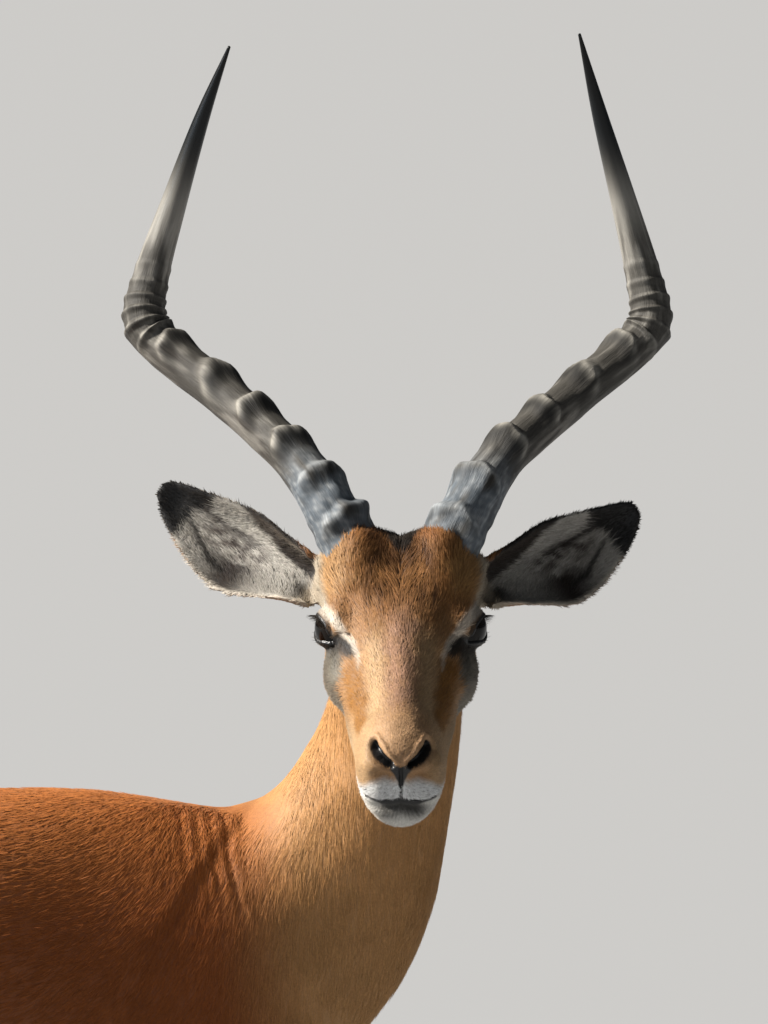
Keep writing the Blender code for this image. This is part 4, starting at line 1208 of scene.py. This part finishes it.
def lashes(flip):
    """Upper lashes, longest at the middle of the lid, and a few below."""
    rows = []
    for sense, count, long, sag in ((1, 70, 0.0080, 0.15), (-1, 7, 0.0030, 0.1)):
        run = np.linspace(-0.62, 0.76, count) + CHANCE.normal(0, 0.008, count)
        above, below = lid_arches(run)
        rise = above + 0.05 if sense > 0 else -below - 0.04
        facing = np.sqrt(np.maximum(1 - run**2 - rise**2, 0.02))
        run, rise, facing = run[:, None], rise[:, None], facing[:, None]
        way = EYE_OUTWARD * facing + EYE_BACK * run + EYE_UP * rise
        roots = EYE_CENTRE + way * (EYE_RADIUS + 0.0022)
        ways = unit(way * 0.30 + EYE_OUTWARD * 0.80 + EYE_BACK * (0.25 + run * 0.3) - EYE_UP * 0.30 * sense)
        bends = np.tile(EYE_UP * -sag - EYE_OUTWARD * 0.1, (count, 1))
        rows.append((roots, ways, bends, long * (1 - 0.45 * (run / SLIT_HALF) ** 2)))
    roots, ways, bends, lengths = (np.concatenate(parts) for parts in zip(*rows))
    count = len(roots)
    normals = np.tile(turned_from_head(EYE_UP * flip), (count, 1))
    return long_hairs(
        from_head(roots * flip), turned_from_head(ways * flip), normals, painted("black", count)[0],
        np.full((count, 2), 0.5), lengths[:, 0], 0.00026, 0.02, turned_from_head(bends * flip),
    )


def together(one, other):
    one_more = (other[0], other[1] + len(one[0]), *other[2:])
    return tuple(np.concatenate(parts) for parts in zip(one, one_more))


# Horns.


def ridge(place):
    """How proud the horn stands at a share of its length, and the masks of painted shade in the hollow before
    each crest and painted light on the lip past it.
    """
    proud, hollow, lip = (np.zeros(len(place)) for _ in range(3))
    start = 0.0
    for crest, high in HORN_RIDGES:
        run = crest - start
        end = crest + RIDGE_DROP * run
        rise = within(place, start + RIDGE_RISES * run, crest, crest, end)
        proud = np.where((place > start) & (place <= end), high * rise, proud)
        # Masks for the painted shade in the hollow below each crest and the painted light on its lip.
        under = within(place, crest - 0.62 * run, crest - 0.20 * run, crest - 0.10 * run, crest)
        edge = bell(place - crest - 0.10 * (end - crest), 0.62 * (end - crest))
        hollow = np.maximum(hollow, min(high, 1) * under)
        lip = np.maximum(lip, min(high, 1) * edge)
        start = end
    return proud, hollow, lip


def horn(side_name):
    flip = SIDES[side_name]
    rows = smooth_rows(HORN_ROWS[:, HORN_COLUMNS[side_name]], HORN_STATIONS)
    root = rows[0] + (rows[0] - rows[12]) * [1.6, 1.6, 1.6, 0]
    rows = np.vstack([root, rows])
    centres = rows[:, :3] * flip
    along = unit(np.gradient(centres, axis=0))
    across = np.array([0.0, flip[1], 0.0])
    turns = np.linspace(0, 2 * math.pi, HORN_SIDES, endpoint=False)
    front = unit(RIDGE_FRONT * flip)
    rings, heights, shares = [], [], []
    for i, centre in enumerate(centres):
        across = squared_off(across, along[i])
        outward = np.cos(turns)[:, None] * across + np.sin(turns)[:, None] * np.cross(along[i], across)
        facing = outward @ front
        place = max(i - 1, 0) / (HORN_STATIONS - 1)
        crowded = ramp(place, 0.50, 0.58)
        recedes = RIDGE_RECEDES * (1 - 0.72 * crowded) * (1 - facing)
        wander = 0.0030 * np.sin(3 * turns + 9 * place) + 0.0022 * np.sin(7 * turns - 13 * place)
        # hollow and lip carry the masks of painted shade and painted light beside each ridge.
        high, hollow, lip = ridge(np.maximum(place + recedes + wander * (1 - crowded), 0))
        uneven = 1 + 0.18 * np.sin(17 * place + 2 * turns) + 0.10 * np.sin(41 * place + 5 * turns)
        proud = 0.05 + 0.95 * ramp(facing, 0.0, 0.85) * (1 - crowded) + 0.80 * crowded
        rough = 0.014 * np.sin(7 * turns + 30 * place) * fade(place, 0.55, 0.7)
        rough += 0.010 * np.sin(13 * turns - 20 * place) * fade(place, 0.5, 0.7)
        knots = np.sin(5 * turns + 90 * place) * np.sin(4 * turns - 64 * place)
        rough += 0.042 * knots * fade(place, 0.06, 0.16)
        radius = rows[i, 3] * (0.965 + high * RIDGE_HEIGHT * proud * uneven + rough)
        rings.append(centre + outward * radius[:, None])
        heights.append(np.stack([high, hollow, lip], 1) * proud[:, None])
        shares.append(np.full(HORN_SIDES, place))
    count = len(rows)
    low = np.arange(HORN_SIDES)
    high = (low + 1) % HORN_SIDES
    ring = np.arange(count - 1)[:, None] * HORN_SIDES
    a, b = ring + low, ring + high
    c, d = b + HORN_SIDES, a + HORN_SIDES
    tip = count * HORN_SIDES
    last = tip - HORN_SIDES
    faces = np.vstack([
        np.stack([c, b, a], -1).reshape(-1, 3), np.stack([d, c, a], -1).reshape(-1, 3),
        np.stack([low * 0 + tip, last + high, last + low], 1), np.stack([low * 0 + tip + 1, low, high], 1),
    ])
    ends = [centres[-1] + along[-1] * 0.0006, centres[0]]
    points = from_head(np.vstack([*rings, *ends]))
    heights = np.vstack([*heights, np.zeros((2, 3))])
    shares = np.append(np.concatenate(shares), [1, 0])
    around = np.append(np.tile(turns, count), [0, 0])
    arc = np.append(np.repeat(np.arange(count), HORN_SIDES), [count, 0]) * STATION_STEP
    grain = np.stack([np.cos(around) * 0.02, np.sin(around) * 0.02, arc], 1)
    name = f"horn_{side_name}_keratin"
    mesh = mesh_from(name, points, faces, horn_marks(grain, heights, shares))
    keep(mesh, "Grain", grain)
    keep(mesh, "Polish", ramp(shares, 0.70, 0.84))
    return shown(name, mesh)


def horn_marks(grain_places, heights, shares):
    """Painted shade in the hollows below the ridges and painted light on their lips, worn pale patches,
    blue-grey at the root, pale at the bend and black at the tip.
    """
    grain = waves(grain_places * [1, 1, 0.30], 0.0055, 61)
    broad = waves(grain_places * [1, 1, 0.5], 0.03, 62)
    fine = waves(grain_places * [1, 1, 0.35], 0.0015, 63)
    colours, lay = painted("side", len(shares), HORN_COLOURS)
    _, hollow, lip = heights.T
    lay("soil", 0.40 * ramp(broad, 0.0, 0.8) * fade(shares, 0.4, 0.6))
    lay("crest", 0.25 * ramp(broad + grain, 0.1, 1.2) * (shares < RIDGES_END))
    # Painted shade in the hollow on the root side of each ridge.
    lay("valley", np.minimum(0.92 * hollow * ramp(grain, -2.0, -0.2), 0.92))
    # Painted light on each ridge's lip, in the pale crest colour that also marks the worn patches above.
    lay("crest", np.minimum(0.62 * lip * ramp(grain, -1.2, 0.8), 0.7))
    base_zone = fade(shares + 0.02 * broad, 0.12, 0.22)
    # Less blue-grey in the painted shade of the hollows, and pale flecks of wear, with more of them on the
    # lips as painted light.
    lay("blue", 0.80 * base_zone * ramp(grain - 0.8 * hollow, -1.6, 0.2))
    lay("fleck", 0.26 * base_zone * ramp(fine + 0.6 * grain + 0.9 * lip - 0.5 * hollow, -0.40, 1.60))
    lay("pale", 0.55 * bell(shares - 0.745, 0.060) * ramp(grain + broad, -0.6, 0.6))
    lay("pale", 0.50 * bell(shares - 0.800, 0.045))
    lay("slate", ramp(shares, 0.765, 0.895))
    lay("tip", 0.90 * ramp(shares, 0.85, 0.97))
    return colours


# Eyes and claws.

CORONET = 0.010
INTO_PASTERN = 0.0075


def eye(side_name):
    flip = SIDES[side_name]
    bpy.ops.mesh.primitive_uv_sphere_add(segments=64, ring_count=48, radius=EYE_RADIUS)
    piece = bpy.context.object
    piece.name = f"eye_{side_name}_ball"
    bpy.ops.object.shade_smooth()
    points = points_of(piece.data)
    cornea = ramp(points[:, 2] / EYE_RADIUS, 0.42, 0.95)
    points = points * (1 + 0.030 * cornea)[:, None]
    x, y, z = points.T
    colours, lay = painted("iris", len(points), EYE_COLOURS)
    colours *= 0.75 + 0.5 * (0.5 + 0.5 * np.sin(np.arctan2(y, x) * 38))[:, None]
    lay("pupil", fade((x / 0.0088) ** 4 + (y / 0.0050) ** 4, 0.8, 1.25) * (z > 0))
    lay("rim", ramp(np.hypot(x, y), 0.0118, 0.0135))
    outward, slit = turned_from_head(EYE_OUTWARD * flip), turned_from_head(EYE_BACK * flip)
    ways = np.stack([slit, np.cross(outward, slit), outward])
    set_points(piece.data, points @ ways + from_head(EYE_CENTRE * flip))
    paint(piece.data, colours)
    return piece


def claw(node):
    """The claw's solid with its edges eased, its sole kept flat and its top raised into the pastern."""
    shape = merged_copy(node)
    bmesh.ops.dissolve_limit(shape, angle_limit=math.radians(2), verts=shape.verts, edges=shape.edges)
    top = max(v.co.z for v in shape.verts)
    for v in shape.verts:
        if v.co.z > top - CORONET:
            v.co.z += INTO_PASTERN
    crease = shape.edges.layers.float.new("crease_edge")
    for edge in shape.edges:
        if max(v.co.z for v in edge.verts) < 0.001:
            edge[crease] = 0.9
    piece = piece_of(shape, f"{node}_horn")
    with_modifier(piece, "SUBSURF", levels=3, render_levels=3)
    settled(piece).data.shade_smooth()
    return piece


# Materials.


def add_node(tree, kind, inputs=None, **settings):
    """Adds a node with its settings and links."""
    node = tree.nodes.new(kind)
    for name, value in settings.items():
        setattr(node, name, value)
    wire(tree, node, inputs or {})
    return node


def wire(tree, node, inputs):
    """Links a node's own sockets, or sets them."""
    for name, value in inputs.items():
        if isinstance(value, bpy.types.NodeSocket):
            tree.links.new(value, node.inputs[name])
        else:
            node.inputs[name].default_value = value


def material(name):
    made = bpy.data.materials.new(name)
    made.use_nodes = True
    return made, made.node_tree, made.node_tree.nodes["Principled BSDF"]


# Short guard hair: pigment by place, a soft sheen along the lie, each lock a little unlike the next.
def coat_material():
    made, tree, shader = material("impala guard hair")
    marks = add_node(tree, "ShaderNodeAttribute", attribute_name="Marking")
    place = add_node(tree, "ShaderNodeTexCoord").outputs["Object"]
    speckle = add_node(tree, "ShaderNodeTexNoise", {"Vector": place, "Scale": 520.0, "Detail": 2.0})
    spread = add_node(tree, "ShaderNodeMapRange", {
        "Value": speckle.outputs["Fac"], "From Min": 0.3, "From Max": 0.7, "To Min": 0.86, "To Max": 1.14,
    })
    tint = add_node(tree, "ShaderNodeHueSaturation", {
        "Color": marks.outputs["Color"], "Value": spread.outputs["Result"],
    })
    wire(tree, shader, {
        "Base Color": tint.outputs["Color"], "Roughness": 0.60, "IOR": 1.5, "Specular IOR Level": 0.24,
        "Sheen Weight": 0.12, "Sheen Roughness": 0.45, "Sheen Tint": (1.0, 0.86, 0.70, 1),
    })
    return made


# Skin under hair, and bare skin on nose, lips and lids: moist, dark and finely pebbled.
def skin_material():
    made, tree, shader = material("impala skin with short hair")
    marks = add_node(tree, "ShaderNodeAttribute", attribute_name="Marking")
    bare = add_node(tree, "ShaderNodeAttribute", attribute_name="Bare").outputs["Fac"]
    place = add_node(tree, "ShaderNodeTexCoord").outputs["Object"]
    noise = add_node(tree, "ShaderNodeTexNoise", {"Vector": place, "Scale": 700.0, "Detail": 3.0})
    hair = noise.outputs["Fac"]
    pebble = add_node(tree, "ShaderNodeTexVoronoi", {"Vector": place, "Scale": 780.0})
    shade = add_node(tree, "ShaderNodeMapRange", {
        "Value": hair, "From Min": 0.3, "From Max": 0.7, "To Min": 0.72, "To Max": 1.0,
    })
    tint = add_node(tree, "ShaderNodeHueSaturation", {
        "Color": marks.outputs["Color"], "Value": shade.outputs["Result"],
    })
    height = add_node(tree, "ShaderNodeMix", {"Factor": bare, 2: hair, 3: pebble.outputs["Distance"]})
    bump = add_node(tree, "ShaderNodeBump", {
        "Height": height.outputs[0], "Strength": 0.45, "Distance": 0.0006,
    })
    gloss = add_node(tree, "ShaderNodeMapRange", {"Value": bare, "To Min": 0.70, "To Max": 0.40})
    wire(tree, shader, {
        "Base Color": tint.outputs["Color"], "Normal": bump.outputs["Normal"],
        "Roughness": gloss.outputs["Result"],
    })
    return made


# Horn keratin: grown in rings, finely striped along its length, weathered, with painted light on the ridges'
# lips and painted shade in their hollows, polished at the tip.
def horn_material():
    made, tree, shader = material("horn keratin")
    marks, grain, polish = (
        add_node(tree, "ShaderNodeAttribute", attribute_name=name).outputs
        for name in ("Marking", "Grain", "Polish")
    )
    layers = []
    for scale, detail in (((620.0, 620.0, 34.0), 4.0), ((1700.0, 1700.0, 150.0), 3.0)):
        way = add_node(tree, "ShaderNodeMapping", {"Vector": grain["Vector"], "Scale": scale})
        stripes = add_node(tree, "ShaderNodeTexNoise", {
            "Vector": way.outputs["Vector"], "Scale": 1.0, "Detail": detail,
        })
        layers.append(stripes.outputs["Fac"])
    product = add_node(tree, "ShaderNodeMath", {0: layers[0], 1: layers[1]}, operation="MULTIPLY")
    depth = product.outputs["Value"]
    shade = add_node(tree, "ShaderNodeMapRange", {
        "Value": depth, "From Min": 0.12, "From Max": 0.42, "To Min": 0.70, "To Max": 1.25,
    })
    even = add_node(tree, "ShaderNodeMix", {"Factor": polish["Fac"], 2: shade.outputs["Result"], 3: 1.0})
    tint = add_node(tree, "ShaderNodeHueSaturation", {"Color": marks["Color"], "Value": even.outputs[0]})
    gloss = add_node(tree, "ShaderNodeMapRange", {"Value": polish["Fac"], "To Min": 0.60, "To Max": 0.30})
    strength = add_node(tree, "ShaderNodeMapRange", {"Value": polish["Fac"], "To Min": 0.55, "To Max": 0.10})
    bump = add_node(tree, "ShaderNodeBump", {
        "Height": depth, "Strength": strength.outputs["Result"], "Distance": 0.0016,
    })
    wire(tree, shader, {
        "Base Color": tint.outputs["Color"], "Normal": bump.outputs["Normal"],
        "Roughness": gloss.outputs["Result"], "IOR": 1.55, "Specular IOR Level": 0.20,
    })
    return made


# A wet cornea over a nearly black iris: one sharp highlight and clear reflections.
def eye_material():
    made, tree, shader = material("wet eye")
    marks = add_node(tree, "ShaderNodeAttribute", attribute_name="Marking")
    wire(tree, shader, {
        "Base Color": marks.outputs["Color"], "Roughness": 0.09, "IOR": 1.376, "Specular IOR Level": 0.32,
    })
    return made


# Hoof keratin: nearly black, faintly ringed, worn and dusty towards the ground.
def hoof_material():
    made, tree, shader = material("hoof keratin")
    place = add_node(tree, "ShaderNodeTexCoord").outputs["Object"]
    level = add_node(tree, "ShaderNodeMapping", {"Vector": place, "Scale": (60.0, 60.0, 900.0)})
    rings = add_node(tree, "ShaderNodeTexNoise", {
        "Vector": level.outputs["Vector"], "Scale": 1.0, "Detail": 2.0,
    }).outputs["Fac"]
    shades = add_node(tree, "ShaderNodeValToRGB", {"Fac": rings})
    for stop, position, code in zip(shades.color_ramp.elements, (0.30, 0.75), ("151210", "39312a")):
        stop.position, stop.color = position, opaque(code)
    bump = add_node(tree, "ShaderNodeBump", {"Height": rings, "Strength": 0.4, "Distance": 0.0008})
    wire(tree, shader, {
        "Base Color": shades.outputs["Color"], "Normal": bump.outputs["Normal"],
        "Roughness": 0.42, "IOR": 1.55,
    })
    return made


# Matt painted studio floor.
def floor_material():
    made, tree, shader = material("matt floor paint")
    wire(tree, shader, {"Base Color": opaque("9da0a4"), "Roughness": 0.85})
    return made


# The room: floor, light and camera.

SKY_STRENGTH = 0.095
KEY_STRENGTH = 10.0
KEY_SPREAD = math.radians(7.0)
KEY_FROM = Vector((-0.81, 0.055, 0.52))
PANEL_FROM = Vector((-0.88, -0.23, 0.44))
PANEL_AWAY, PANEL_SIZE, PANEL_POWER = 3.2, 1.5, 46.0
CAMERA_TURN, CAMERA_RISE = math.radians(-10.0), math.radians(4.0)
CAMERA_AWAY, CAMERA_LENS = 7.0, 322.0
AIM_FROM_EYES = Vector((-0.0216, -0.0484, 0.0933))
BETWEEN_EYES = (middle("eye_left") + middle("eye_right")) / 2


def turned_to(piece, way):
    """Turns a light or the camera so that it looks against this way."""
    piece.rotation_euler = way.to_track_quat("Z", "Y").to_euler()
    return piece


def room():
    bpy.ops.mesh.primitive_plane_add(size=900)
    floor = bpy.context.object
    floor.name = "studio_floor"
    floor.data.materials.append(floor_material())
    world = bpy.data.worlds.new("pale room")
    world.use_nodes = True
    bpy.context.scene.world = world
    sky = world.node_tree.nodes["Background"]
    wire(world.node_tree, sky, {"Color": opaque("e3eaf4"), "Strength": SKY_STRENGTH})
    sun = bpy.data.lights.new("key", "SUN")
    sun.energy, sun.angle, sun.color = KEY_STRENGTH, KEY_SPREAD, linear("fff8ee")
    turned_to(shown("key", sun), KEY_FROM)
    # A bluish panel that shows only as a reflection in wet eyes, nose and polished horn.
    panel = bpy.data.lights.new("panel", "AREA")
    panel.shape = "DISK"
    panel.size, panel.energy, panel.color = PANEL_SIZE, PANEL_POWER, linear("c4d6ee")
    lamp = turned_to(shown("panel", panel), PANEL_FROM)
    lamp.location = BETWEEN_EYES + PANEL_FROM.normalized() * PANEL_AWAY
    lamp.visible_diffuse = False


def camera():
    flat = math.cos(CAMERA_RISE)
    away = Vector((math.sin(CAMERA_TURN) * flat, -math.cos(CAMERA_TURN) * flat, math.sin(CAMERA_RISE)))
    lens = bpy.data.cameras.new("camera")
    lens.lens, lens.clip_end = CAMERA_LENS, 1000
    piece = turned_to(shown("camera", lens), away)
    piece.location = BETWEEN_EYES + AIM_FROM_EYES + away * CAMERA_AWAY
    bpy.context.scene.camera = piece


def finished(piece, made, slot, *nodes):
    """Gives a piece its material and body, and hides the nodes that it stands for; slot is not used."""
    piece.data.materials.clear()
    piece.data.materials.append(made)
    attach(piece, "root")
    if nodes:
        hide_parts(*nodes)


def build():
    body, rest = skin()
    arrays = Skin(body, rest)
    bare = np.clip(arrays.bare, 0, 1)[:, None]
    paint(body.data, arrays.colours * (1 - bare) + COLOURS["nose"] * bare)
    keep(body.data, "Bare", arrays.bare)
    finished(body, skin_material(), "coat", *FLESH, "tail")
    hair, keratin, wet, hoof = coat_material(), horn_material(), eye_material(), hoof_material()
    short_coat(arrays, hair)
    long_coat(arrays, hair)
    coat_pieces("lashes", together(lashes(SIDES["left"]), lashes(SIDES["right"])), hair, "coat")
    for side in SIDES:
        finished(horn(side), keratin, "horn", f"horn_{side}")
    for side in SIDES:
        finished(eye(side), wet, "eye", f"eye_{side}")
    for node in sorted(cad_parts):
        if "hoof" in node:
            finished(claw(node), hoof, "hoof", node)


build()
room()
camera()
bpy.context.scene.view_settings.view_transform = "Standard"
